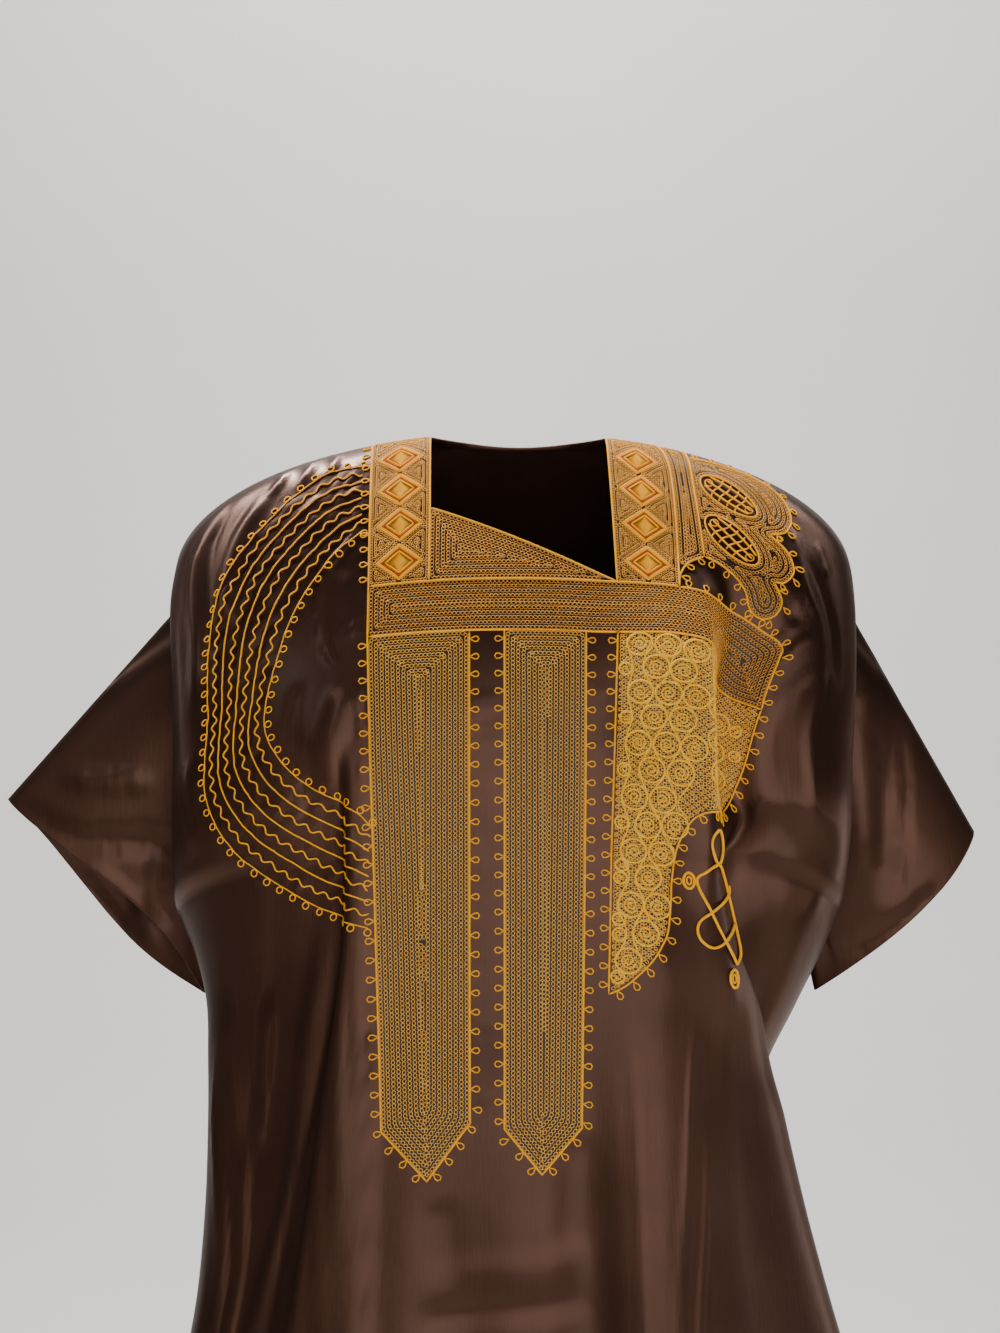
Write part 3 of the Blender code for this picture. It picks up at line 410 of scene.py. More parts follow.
def pleat_angles(side, hand, distance, levels):
    """Turn of the cloth out of its section at each distance from the middle, in radians."""
    angles = np.zeros((len(levels), distance.shape[1]))
    slopes = np.zeros_like(angles)
    for pleat in PLEAT_LIST:
        if (pleat.side, pleat.hand) != (side, hand):
            continue
        rows = PLEATS[pleat.name]
        edge = through(rows, "edge", levels)[:, None]
        end = edge + through(rows, "flank", levels)[:, None]
        angle = np.radians(np.maximum(through(rows, "angle", levels), 0))[:, None]
        half = pleat.turn / 2
        flank = eased(distance, edge - half, edge + half) - eased(distance, end - half, end + half)
        depth = running_sum(np.sin(angle * flank), CLOTH_STEP)[:, -1:]
        rise = bump(distance, edge - half - pleat.rise, edge - half) * pleat.rise_share
        recovery = bump(distance, end + half, end + half + pleat.recovery) * (1 - pleat.rise_share)
        angles -= angle * flank
        slopes += depth * (rise + recovery)
    return angles + np.arcsin(np.clip(slopes, -STEEPEST, STEEPEST))


class Cloth:
    """The front or the back of the body as a sheet: a point for every across and down."""

    def __init__(self, side):
        self.side = side
        self.levels = np.arange(0, HEM + LEVEL_STEP, LEVEL_STEP)
        self.distance = np.arange(0, CLOTH_REACH, CLOTH_STEP)
        points, normals, section, seams = bare_body(side, self.levels)
        halves = [self.folded_half(hand, section, seams) for hand in ("left", "right")]
        (left_way, left_height, left_edge), (right_way, right_height, right_edge) = halves
        self.across = np.concatenate([-self.distance[:0:-1], self.distance])
        way = np.concatenate([-left_way[:, :0:-1], right_way], axis=1)
        height = np.concatenate([left_height[:, :0:-1], right_height], axis=1)
        self.edges = {"left": -left_edge, "right": right_edge}
        self.points = np.empty(way.shape + (3,))
        self.normals = np.empty_like(self.points)
        for i in range(len(self.levels)):
            for axis in range(3):
                self.points[i, :, axis] = np.interp(way[i], section[i], points[i, :, axis])
                self.normals[i, :, axis] = np.interp(way[i], section[i], normals[i, :, axis])
        self.points += self.normals * height[:, :, None]
        self.normals = self.surface_normals()
        self.points += self.normals * crease_height(side, self.across, self.levels)[:, :, None]
        self.normals = self.surface_normals()

    def surface_normals(self):
        """Outward normals of the grid's surface."""
        along = np.gradient(self.points, axis=1)
        down = np.gradient(self.points, axis=0)
        return unit(np.cross(down, along) if self.side == "front" else np.cross(along, down))

    def folded_half(self, hand, section, seams):
        """Way along the bare section, height off it and the seam's cloth distance, for one half."""
        sign = -1 if hand == "left" else 1
        reach = np.abs(seams[0 if hand == "left" else 1])
        distance = self.distance[None, :]
        soft, slope = soft_height(self.side, sign * distance, self.levels)
        angles = pleat_angles(self.side, hand, distance, self.levels)
        turn = angles + np.arcsin(np.clip(sign * slope, -STEEPEST, STEEPEST))
        way = running_sum(np.cos(turn), CLOTH_STEP)
        height = running_sum(np.sin(angles), CLOTH_STEP) + soft
        edge = np.array([self.seam_distance(row, end) for row, end in zip(way, reach)])
        beyond = np.array([np.interp(e, self.distance, row) for e, row in zip(edge, height)])
        height -= beyond[:, None] * eased(distance, edge[:, None] * SEAM_FADE, edge[:, None])
        return way, height, edge

    def seam_distance(self, way, reach):
        """Cloth distance at which the way along a section last passes its reach."""
        last = np.nonzero(way < reach)[0][-1]
        share = (reach - way[last]) / (way[last + 1] - way[last])
        return self.distance[last] + share * CLOTH_STEP

    def edge(self, hand, down):
        """Cloth distance of a seam at a level."""
        return np.interp(down, self.levels, self.edges[hand])

    def sample(self, grid, across, down):
        """Value of a grid at places on the cloth."""
        column = np.clip((across - self.across[0]) / CLOTH_STEP, 0, len(self.across) - LAST_CELL)
        row = np.clip(down / LEVEL_STEP, 0, len(self.levels) - LAST_CELL)
        i = row.astype(int)
        j = column.astype(int)
        u = (column - j)[..., None]
        v = (row - i)[..., None]
        upper = grid[i, j] * (1 - u) + grid[i, j + 1] * u
        lower = grid[i + 1, j] * (1 - u) + grid[i + 1, j + 1] * u
        return upper * (1 - v) + lower * v

    def at(self, across, down, lift=0.0):
        """Points on the cloth moved out along its normal by lift, and the normals there."""
        normal = unit(self.sample(self.normals, across, down))
        return self.sample(self.points, across, down) + normal * lift, normal


# The mesh of each panel has rows, and columns between guides that run down the cloth. Above
# FLAT_LEVEL the right pleat isn't folded, and one column in IDLE_COLUMNS does for its cloth, which lies
# between the two PLEAT_GUIDES.
TURN_MARGIN = 0.010
FINE_ROW = 0.004
COARSE_ROW = 0.015
FINE_UNTIL = 0.665
ROWS = np.concatenate([
    np.arange(0, FINE_UNTIL, FINE_ROW),
    np.linspace(FINE_UNTIL, HEM, int((HEM - FINE_UNTIL) / COARSE_ROW)),
])
BACK_COLUMNS = 150
FLAT_LEVEL = 0.285
IDLE_COLUMNS = 5
FRONT_PLEATS = ("left_tuck", "chest_ridge", "right_pleat")
PLEAT_GUIDES = (-4, -2)
SHOULDER_STEP = 0.004
NET_CLEARANCE = 0.38
SAME_POINT = 1e-5
Guide = namedtuple("Guide", "line columns")


def front_guides(cloth):
    """Guides of the front from left seam to right seam, with the columns between each two."""
    tuck, chest, pleat = [through(PLEATS[name], "edge", cloth.levels) for name in FRONT_PLEATS]
    tuck_flank, _, pleat_flank = [through(PLEATS[name], "flank", cloth.levels) for name in FRONT_PLEATS]
    guides = (
        Guide(cloth.edges["left"], 0),
        Guide(-tuck - tuck_flank - TURN_MARGIN, 42),
        Guide(-tuck + TURN_MARGIN, 14),
        Guide(0 * cloth.levels, 24),
        Guide(chest - TURN_MARGIN, 28),
        Guide(chest + TURN_MARGIN, 12),
        Guide(pleat - TURN_MARGIN, 8),
        Guide(pleat + TURN_MARGIN, 14),
        Guide(pleat + pleat_flank - TURN_MARGIN, 6),
        Guide(pleat + pleat_flank + TURN_MARGIN, 14),
        Guide(cloth.edges["right"], 26),
    )
    return np.stack([guide.line for guide in guides]), np.cumsum([guide.columns for guide in guides])


def back_guides(cloth):
    """Guides of the back, which has no pleats."""
    lines = [cloth.edges["left"], 0 * cloth.levels, cloth.edges["right"]]
    return np.stack(lines), np.array([0, BACK_COLUMNS // 2, BACK_COLUMNS])


class Net:
    """Columns and rows laid over a cloth, and the way between them and cloth distances."""

    def __init__(self, cloth, guides, rows):
        self.cloth = cloth
        self.lines, self.counts = guides
        self.rows = rows

    def lines_at(self, down):
        """Cloth distance of every guide at each level."""
        return np.stack([np.interp(down, self.cloth.levels, line) for line in self.lines], axis=1)

    def to_net(self, across, down):
        """Column and row of places on the cloth."""
        lines = self.lines_at(down)
        column = [np.interp(a, line, self.counts) for a, line in zip(across, lines)]
        return np.column_stack([column, np.interp(down, self.rows, np.arange(len(self.rows)))])

    def to_cloth(self, places):
        """Cloth distances of columns and rows."""
        down = np.interp(places[:, 1], np.arange(len(self.rows)), self.rows)
        lines = self.lines_at(down)
        across = [np.interp(c, self.counts, line) for c, line in zip(places[:, 0], lines)]
        return np.array(across), down


def within(points, outline):
    """Whether points lie inside a closed outline, by counting the edges to one side of each."""
    inside = np.zeros(len(points), bool)
    for (x0, y0), (x1, y1) in zip(outline, np.roll(outline, -1, axis=0)):
        if y0 == y1:
            continue
        crosses = (y0 > points[:, 1]) != (y1 > points[:, 1])
        at = x0 + (points[:, 1] - y0) * (x1 - x0) / (y1 - y0)
        inside ^= crosses & (points[:, 0] < at)
    return inside


def distance_to(points, outline, closed=True):
    """Distance of points from the nearest edge of an outline."""
    nearest = np.full(len(points), np.inf)
    ends = np.roll(outline, -1, axis=0) if closed else outline[1:]
    for start, end in zip(outline, ends):
        way = end - start
        share = np.clip((points - start) @ way / max(way @ way, TINY), 0, 1)
        nearest = np.minimum(nearest, np.linalg.norm(points - start - share[:, None] * way, axis=1))
    return nearest


def panel_outline(net, neck):
    """Closed outline of a body panel: neck edge, shoulder seam, right seam, hem and left seam."""
    cloth = net.cloth
    down = net.rows.copy()
    down[0] = SEAM_GAP
    right = np.column_stack([cloth.edge("right", down) - SEAM_GAP, down])
    left = np.column_stack([cloth.edge("left", down) + SEAM_GAP, down])
    hem_columns = np.arange(1, net.counts[-1])[::-1]
    hem = net.to_cloth(np.column_stack([hem_columns, np.full(len(hem_columns), len(down) - 1.0)]))
    right_shoulder = line_through((neck[-1], right[0]), SHOULDER_STEP)[1:-1]
    left_shoulder = line_through((left[0], neck[0]), SHOULDER_STEP)[1:-1]
    return np.concatenate([neck, right_shoulder, right, np.column_stack(hem), left[::-1], left_shoulder])


def panel_triangles(net, outline, skip=None):
    """Triangulate a panel in its net. Returns cloth places and triangles."""
    border = net.to_net(*outline.T)
    columns, rows = np.meshgrid(np.arange(1, net.counts[-1]), np.arange(1, len(net.rows) - 1))
    grid = np.column_stack([columns.ravel(), rows.ravel()]).astype(float)
    if skip is not None:
        grid = grid[~skip(grid)]
    grid = grid[within(grid, border)]
    grid = grid[distance_to(grid, border) > NET_CLEARANCE]
    points = np.concatenate([border, grid])
    edges = [(i, (i + 1) % len(border)) for i in range(len(border))]
    vectors = [tuple(p) for p in points]
    places, _, faces, _, _, _ = delaunay_2d_cdt(vectors, edges, [], 0, SAME_POINT)
    places = np.array([tuple(p) for p in places])
    faces = np.array([f if net.cloth.side == "back" else f[::-1] for f in faces])
    faces = faces[within(places[faces].mean(axis=1), border)]
    return np.column_stack(net.to_cloth(places)), faces


def open_edges(faces):
    """Edges that only one triangle has, in that triangle's direction."""
    edges = np.concatenate([faces[:, [0, 1]], faces[:, [1, 2]], faces[:, [2, 0]]])
    known = {tuple(e) for e in edges.tolist()}
    return np.array([e for e in edges.tolist() if (e[1], e[0]) not in known])


def mesh_object(name, vertices, faces, material):
    """Smooth mesh object with one material. faces is an array with as many columns as corners."""
    mesh = bpy.data.meshes.new(name)
    mesh.vertices.add(len(vertices))
    mesh.vertices.foreach_set("co", np.asarray(vertices, np.float32).ravel())
    mesh.loops.add(faces.size)
    mesh.loops.foreach_set("vertex_index", faces.astype(np.int32).ravel())
    mesh.polygons.add(len(faces))
    mesh.polygons.foreach_set("loop_start", np.arange(0, faces.size, faces.shape[1], dtype=np.int32))
    mesh.update(calc_edges=True)
    mesh.validate()
    mesh.shade_smooth()
    mesh.materials.append(material)
    obj = bpy.data.objects.new(name, mesh)
    bpy.context.scene.collection.objects.link(obj)
    return obj


def shell(name, outer, inner, faces, material):
    """Thin closed shell between two like sheets of points."""
    used, index = np.unique(faces, return_inverse=True)
    faces = index.reshape(faces.shape)
    outer, inner = outer[used], inner[used]
    count = len(used)
    rim = open_edges(faces)
    side = np.concatenate([
        np.column_stack([rim[:, 1], rim[:, 0], rim[:, 0] + count]),
        np.column_stack([rim[:, 1], rim[:, 0] + count, rim[:, 1] + count]),
    ])
    everything = np.concatenate([faces, faces[:, ::-1] + count, side])
    return mesh_object(name, np.concatenate([outer, inner]), everything, material)


# Lines on the cloth. Smooth lines get their points at CURVE_STEP, and outlines and straight lines at
# OUTLINE_STEP.
CURVE_STEP = 2.0
OUTLINE_STEP = 3.0
CURVE_POINTS = 12
RING_POINTS = 28


def line_through(corners, step):
    """Points at even steps along straight stretches, with every corner kept."""
    corners = np.array(corners, float)
    line = []
    for start, end in zip(corners, corners[1:]):
        count = max(1, int(np.ceil(np.linalg.norm(end - start) / step)))
        line += [start + (end - start) * k / count for k in range(count)]
    return np.array(line + [corners[-1]])


def lengths_along(line):
    """Length of the line up to each of its points."""
    return np.concatenate([[0], np.cumsum(np.linalg.norm(np.diff(line, axis=0), axis=1))])


def evenly_counted(line, count):
    """The line with a given number of points at even steps."""
    lengths = lengths_along(line)
    at = np.linspace(0, lengths[-1], count)
    return np.column_stack([np.interp(at, lengths, line[:, axis]) for axis in range(line.shape[1])])


def evenly(line, step):
    """The line with its points at even steps."""
    return evenly_counted(line, max(2, int(round(lengths_along(line)[-1] / step)) + 1))


def curve_through(knots, step):
    """Smooth line through the knots with its points at even steps."""
    knots = np.array(knots, float)
    padded = np.vstack([2 * knots[0] - knots[1], knots, 2 * knots[-1] - knots[-2]])
    t = np.linspace(0, 1, CURVE_POINTS, endpoint=False)[:, None]
    line = []
    for a, b, c, d in zip(padded, padded[1:], padded[2:], padded[3:]):
        square = (2 * a - 5 * b + 4 * c - d) * t**2
        cube = (3 * b - a - 3 * c + d) * t**3
        line.append(0.5 * (2 * b + (c - a) * t + square + cube))
    return evenly(np.vstack(line + [knots[-1:]]), step)


def ring(center, across, down, angle=0.0, count=RING_POINTS):
    """Closed ellipse with these half sizes, turned by angle degrees. Its last point is its first."""
    t = np.linspace(0, 2 * np.pi, count + 1)
    return np.array(center) + turned(np.column_stack([across * np.cos(t), down * np.sin(t)]), angle)


def turned(points, angle):
    """Points turned by an angle in degrees, clockwise as seen from in front."""
    c, s = np.cos(np.radians(angle)), np.sin(np.radians(angle))
    return points @ np.array([[c, s], [-s, c]])


def beside(line):
    """Unit way to the right of a line that runs down, at each of its points."""
    way = unit(np.gradient(line, axis=0))
    return np.column_stack([way[:, 1], -way[:, 0]])


# Threads. The ends of an open tube have this share of its radius.
TUBE_END = 0.1


class Threads:
    """Collects tubes of thread on the front's cloth and makes one mesh of them."""

    def __init__(self, cloth):
        self.cloth = cloth
        self.vertices = []
        self.faces = []
        self.count = 0

    def add(self, lines, yarn, height=0.0):
        """Tubes along lines with the same number of points, given in millimetres of cloth.

        A tube lies on the cloth, or above it by height. A line whose ends meet makes a closed tube.
        """
        lines = np.asarray(lines, float)
        if lines.ndim == 2:
            lines = lines[None]
        points, normals = self.cloth.at(lines[..., 0] / 1000, lines[..., 1] / 1000)
        self.add_tubes(points + normals * (HALF_CLOTH + yarn.radius + height), normals, yarn)

    def add_tubes(self, points, normals, yarn):
        """Tubes along rows of points, with the surface's normal at each point."""
        closed = bool(np.allclose(points[:, 0], points[:, -1]))
        if closed:
            points, normals = points[:, :-1], normals[:, :-1]
            way = np.roll(points, -1, axis=1) - np.roll(points, 1, axis=1)
        else:
            way = np.gradient(points, axis=1)
        side = unit(np.cross(way, normals))
        above = unit(np.cross(side, way))
        thickness = np.full(points.shape[1], yarn.radius)
        if not closed:
            thickness[[0, -1]] *= TUBE_END
        angle = np.arange(yarn.sides) * 2 * np.pi / yarn.sides
        around = side[:, :, None] * np.cos(angle)[:, None] + above[:, :, None] * np.sin(angle)[:, None]
        vertices = points[:, :, None] + around * thickness[None, :, None, None]
        index = self.count + np.arange(vertices[..., 0].size).reshape(vertices.shape[:3])
        here = index if closed else index[:, :-1]
        ahead = np.roll(index, -1, axis=1) if closed else index[:, 1:]
        quads = np.stack([here, ahead, np.roll(ahead, -1, axis=2), np.roll(here, -1, axis=2)], axis=-1)
        self.vertices.append(vertices.reshape(-1, 3))
        self.faces.append(quads.reshape(-1, 4))
        self.count += vertices[..., 0].size

    def make(self, name, material):
        """One mesh of all the tubes."""
        return mesh_object(name, np.concatenate(self.vertices), np.concatenate(self.faces), material)


# One chain stitch: how far along its own length and how far to the side each point of its loop is.
# A chain has the distance between rows, the length of a stitch and half its width.
LoopPoint = namedtuple("LoopPoint", "along side")
CHAIN_LOOP = (
    LoopPoint(0.00, 0.00), LoopPoint(0.35, 0.85), LoopPoint(0.80, 1.00), LoopPoint(1.20, 0.00),
    LoopPoint(0.80, -1.00), LoopPoint(0.35, -0.85),
)
Chain = namedtuple("Chain", "pitch stitch half_width")
WIDE_CHAIN = Chain(3.7, 2.9, 1.25)
OPEN_CHAIN = Chain(3.7, 2.9, 1.00)
FINE_CHAIN = Chain(2.9, 2.3, 0.90)
LACE_CHAIN = Chain(2.9, 2.6, 1.05)
STITCH_JITTER = 0.05


def chain_stitches(line, chain):
    """Loops of a chain-stitched row along a line, in millimetres of cloth."""
    line = line if len(line) == 2 else evenly(line, chain.stitch)
    way = np.diff(line, axis=0)
    side = unit(np.column_stack([way[:, 1], -way[:, 0]])) * chain.half_width
    loop = np.array(CHAIN_LOOP)
    loops = line[:-1, None] + way[:, None] * loop[:, :1] + side[:, None] * loop[:, 1:]
    loops += random.normal(0, STITCH_JITTER, loops.shape)
    return np.concatenate([loops, loops[:, :1]], axis=1)


def contours(value, x, y, level):
    """Lines along which a grid of values has the level."""
    high = value > level
    cells = high[:-1, :-1].astype(int) + high[1:, :-1] + high[:-1, 1:] + high[1:, 1:]
    links = {}
    for i, j in np.argwhere((cells > 0) & (cells < 4)).tolist():
        corners = ((i, j), (i, j + 1), (i + 1, j + 1), (i + 1, j))
        crossed = []
        for a, b in zip(corners, corners[1:] + corners[:1]):
            if high[a] != high[b]:
                crossed.append((min(a, b), max(a, b)))
        for a, b in zip(crossed[::2], crossed[1::2]):
            links.setdefault(a, []).append(b)
            links.setdefault(b, []).append(a)
    lines = []
    while links:
        start = next((edge for edge, ends in links.items() if len(ends) == 1), next(iter(links)))
        line = [start]
        while links.get(line[-1]):
            edge = links[line[-1]].pop()
            links[edge].remove(line[-1])
            line.append(edge)
        for edge in set(line):
            if not links.get(edge):
                links.pop(edge, None)
        lines.append(np.array([edge_point(value, x, y, level, *edge) for edge in line]))
    return lines


def edge_point(value, x, y, level, a, b):
    """Where the value reaches the level on the grid's edge from a to b."""
    t = (level - value[a]) / (value[b] - value[a])
    return (x[a[1]] + (x[b[1]] - x[a[1]]) * t, y[a[0]] + (y[b[0]] - y[a[0]]) * t)


# How rows fill an outline. The first row's inset, the spread of lace and the two gap shares are in
# distances between rows.
CONTOUR_STEP = 1.0
CONTOUR_MARGIN = 2
FIRST_ROW = 0.55
SHORTEST_ROW = 5
SHORTEST_LACE = 6
LACE_SLANTS = (38, -38)
LACE_SPREAD = 1.25
GAP = 0.55
GAP_SPACING = 0.72
GAP_STEP = 0.7


def nested_rows(outline, pitch, *holes):
    """Rows one inside the other, following an outline and the holes in it, and points inside."""
    low, high = outline.min(axis=0), outline.max(axis=0)
    x, y = [np.arange(a - CONTOUR_MARGIN, b + CONTOUR_MARGIN, CONTOUR_STEP) for a, b in zip(low, high)]
    points = np.stack(np.meshgrid(x, y), axis=-1).reshape(-1, 2)
    depth = distance_to(points, outline)
    inside = within(points, outline)
    for hole in holes:
        depth = np.minimum(depth, distance_to(points, hole))
        inside &= ~within(points, hole)
    depth = np.where(inside, depth, -depth)
    grid = depth.reshape(len(y), len(x))
    rows = []
    for level in np.arange(pitch * FIRST_ROW, depth.max(), pitch):
        rows += [line for line in contours(grid, x, y, level) if len(line) >= SHORTEST_ROW]
    return rows, points[depth > pitch * FIRST_ROW]


def lace_rows(outline, pitch):
    """Rows that cross one another over an outline, and no points."""
    rows = []
    for slant in LACE_SLANTS:
        low, high = turned(outline, -slant).min(axis=0), turned(outline, -slant).max(axis=0)
        x = np.arange(low[0], high[0], CONTOUR_STEP / 2)
        for y in np.arange(low[1] + pitch / 2, high[1], pitch * LACE_SPREAD):
            line = turned(np.column_stack([x, np.full(len(x), y)]), slant)
            keep = within(line, outline) & (distance_to(line, outline) > pitch * FIRST_ROW)
            ends = np.nonzero(np.diff(keep))[0] + 1
            runs = zip(np.split(line, ends), np.split(keep, ends))
            rows += [run for run, kept in runs if kept[0] and len(run) >= SHORTEST_LACE]
    return rows, np.empty((0, 2))


def gap_stitches(rows, points, chain):
    """Rows of one stitch each, along the nearest row, at places far from every row.

    The points are tried first, and then the places half a step beside them.
    """
    middles, ways = [], []
    for row in rows:
        row = evenly(row, GAP_STEP)
        middles += list((row[1:] + row[:-1]) / 2)
        ways += list(unit(np.diff(row, axis=0)) * chain.stitch)
    tree = KDTree(len(middles))
    for k, middle in enumerate(middles):
        tree.insert((*middle, 0), k)
    tree.balance()
    placed = np.full((1, 2), np.inf)
    stitches = []
    between = points + (CONTOUR_STEP / 2, 0)
    for point in np.concatenate([points, between]):
        _, nearest, distance = tree.find((*point, 0))
        spacing = np.hypot(*(placed - point).T).min()
        if distance < chain.pitch * GAP or spacing < chain.pitch * GAP_SPACING:
            continue
        placed = np.vstack([placed, point])
        stitches.append(np.array([point - ways[nearest] / 2, point + ways[nearest] / 2]))
    return stitches


# The embroidery, in millimetres of cloth. Its places are those of the part's layers of thread.
TOP = 1.0
CHEST_TOP = 137
CHEST_BOTTOM = 176
LEFT_EDGE = ((-101, TOP), (-100, CHEST_TOP), (-100, CHEST_BOTTOM))
KNIFE_LEFT = (
    (-100, CHEST_BOTTOM), (-98, 240), (-94, 345), (-89, 516), (-58, 550), (-29, 512), (-30, CHEST_BOTTOM),
)
KNIFE_RIGHT = ((-6, CHEST_BOTTOM), (-6, 516), (19, 546), (46, 515), (50, CHEST_BOTTOM))
NECK_LEFT = ((-59, TOP), (-58, 77))
INSET_CORNER = (-58, CHEST_TOP)
NECK_RIGHT = ((67, TOP), (72, CHEST_TOP))
BAND_CORNER = (115, CHEST_TOP)
BAND_CORD = ((104, TOP), (109, 15), (113, 38), (115, 85), BAND_CORNER)
LEAF_CORD = ((123, TOP), (126, 12), (130, 55), (134, 106))
HOOK = ((115, 134), (116, 126), (122, 115), (134, 106))
CHEST_SLOPE = ((132, 138), (162, 142), (184, 149), (203, 158), (209, 171), (214, 212))
CHEST_BOTTOM_SLOPE = ((133, 178), (165, 193), (185, 203), (214, 212))
POCKET_LEFT = ((72, CHEST_BOTTOM), (66, 330), (64, 425))
POCKET_CURVE = (
    (64, 425), (75, 419), (85, 410), (94, 400), (100, 390), (104, 380), (106, 362), (107, 345),
    (111, 322), (122, 303), (140, 297), (160, 299), (180, 292), (200, 265), (210, 240), (214, 212),
)
LEAF_LOBES = (
    ((134, 106), (145, 109), (156, 115), (165, 124), (171, 136), (181, 141), (190, 136), (192, 123),
     (185, 111)),
    ((185, 111), (195, 106), (201, 93), (197, 78), (184, 68)),
    ((184, 68), (197, 58), (203, 42), (200, 26), (188, 14), (168, 8), (147, 8), (126, 12)),
)
Oval = namedtuple("Oval", "across down half_length half_width angle")
OVALS = (Oval(155, 43, 22.5, 13.0, 27), Oval(155, 85, 23.5, 13.0, 43))
OVAL_POINTS = 40

# The lattice in an oval: where its strands lie, as shares of the half width and half length, and how
# they bend. A lengthwise strand swells at shares of the half length, and a crosswise one sways by
# millimetres at shares of the half width.
LATTICE_LENGTHWISE = (-0.40, 0.0, 0.40)
LATTICE_CROSSWISE = (-0.42, -0.14, 0.14, 0.42)
Swell = namedtuple("Swell", "along factor")
LATTICE_SWELL = (Swell(-0.80, 1), Swell(-0.40, 1.3), Swell(0, 1.4), Swell(0.40, 1.3), Swell(0.80, 1))
Sway = namedtuple("Sway", "by along")
LATTICE_SWAY = (Sway(0, -0.86), Sway(1.0, -0.43), Sway(0, 0), Sway(-1.0, 0.43), Sway(0, 0.86))
LATTICE_STEP = 1.2
CROSSING_LIFT = 0.0006
EndRing = namedtuple("EndRing", "at length width points")
END_RING = EndRing(0.72, 0.12, 0.26, 12)

# Diamonds of the shoulder bands, the scales of the cords inside them, and the share of each that is
# filled with strands.
Diamond = namedtuple("Diamond", "across down half_width half_height")
LEFT_DIAMONDS = (
    Diamond(-79, 120, 16, 14.5), Diamond(-79, 89, 16, 14.5), Diamond(-79.5, 58, 16, 14.5),
    Diamond(-80, 28, 16, 13.5),
)
RIGHT_DIAMONDS = (
    Diamond(93.5, 120, 16, 14.5), Diamond(92.5, 88, 16, 14.5), Diamond(91, 57, 15.5, 14.5),
    Diamond(88.5, 28, 15, 13.5),
)
DIAMOND_CORDS = (0.98, 0.87, 0.60)
DIAMOND_LINES = (0.74,)
FILLING = 0.54
FILLING_START = 0.6
FILLING_STEP = 0.85

# Coils of the pocket field: middles of the large ones and of the small ones along its edges, how many
# turns a large one has, how much lower than wide it is, and where its turns start and end, as shares
# of its radius.
ROSETTES = (
    (87, 185), (106, 186), (125, 188), (98, 202), (116, 204), (87, 220), (106, 221), (124, 222),
    (96, 238), (115, 239), (85, 256), (104, 257), (122, 258), (94, 274), (113, 275), (82, 292),
    (101, 293), (91, 310), (109, 309), (81, 328), (100, 329), (91, 346), (79, 365), (97, 365), (89, 383),
    (77, 402), (145, 206), (164, 215), (184, 226), (141, 228), (160, 238), (180, 248), (140, 250),
    (158, 260), (177, 270), (142, 272), (161, 281),
)
SMALL_ROSETTES = (
    (77, 203), (77, 238), (75, 274), (73, 309), (73, 338), (72, 347), (71, 375), (71, 385), (70, 413),
    (198, 230), (197, 250),
)
COIL_TURNS = 1.9
COIL_ROUNDNESS = 0.95
COIL_START = 0.64
COIL_END = 0.08
COIL_POINTS = 26
ROSETTE_RADIUS = 8.7
SMALL_ROSETTE_RADIUS = 4.4

# Wavy cords that run between the columns of rosettes.
SCROLLS = (
    ((78, 184), (82, 202), (78, 220), (81, 238), (76, 256), (79, 274), (73, 292), (78, 310), (72, 328),
     (78, 346), (70, 365), (76, 384), (68, 403)),
    ((96, 180), (89, 202), (96, 220), (87, 238), (94, 256), (85, 274), (91, 292), (82, 310), (90, 328),
     (82, 346), (88, 365), (80, 383), (86, 402)),
    ((97, 180), (107, 203), (97, 221), (105, 238), (95, 257), (103, 275), (92, 293), (100, 310),
     (91, 328), (100, 346), (88, 365), (98, 383)),
    ((115, 182), (107, 204), (115, 221), (106, 239), (113, 257), (104, 275), (110, 293), (100, 309),
     (109, 326)),
    ((116, 182), (125, 204), (115, 222), (124, 239), (113, 258), (122, 275), (111, 294), (118, 304)),
)

# The arc on the left: its outer and inner line, and what each strand between them is.
ARC_OUTER = (
    (-107, 30), (-136, 30), (-172, 55), (-201, 90), (-217, 140), (-216, 210), (-217, 275), (-198, 320),
    (-156, 355), (-125, 370), (-97, 380),
)
ARC_INNER = (
    (-106, 90), (-128, 110), (-149, 140), (-162, 175), (-172, 225), (-162, 255), (-141, 280),
    (-107, 300), (-97, 310),
)
ARC_STRANDS = ("thin", "wave", "cord", "wave", "cord", "wave", "cord", "wave", "thin")
ARC_STEP = 1.4
WAVE_LENGTH = 11.5
WAVE_HEIGHT = 1.5
WAVE_SHIFT = 4

# The knot on the right: three strands and two buttons.
KNOT_STRANDS = (
    ((139, 308), (134, 313), (133, 319), (135, 326), (138, 331), (144, 339), (149, 347), (152, 356),
     (155, 365), (157, 374), (158, 383), (157, 390), (151, 396)),
    ((139, 308), (144, 312), (147, 318), (145, 324), (138, 331), (129, 339), (123, 346), (131, 364),
     (141, 381), (151, 396)),
    ((154, 346), (152, 351), (143, 357), (132, 365), (125, 371), (123, 377), (125, 383), (131, 387),
     (138, 385), (146, 378), (155, 370)),
)
KNOT_BUTTONS = ((118, 346), (148, 404))
KNOT_STEP = 1.5
KNOT_LIFT = 0.0003
BUTTON_OUTER = (3.5, 5.3)
BUTTON_INNER = (1.5, 2.6)

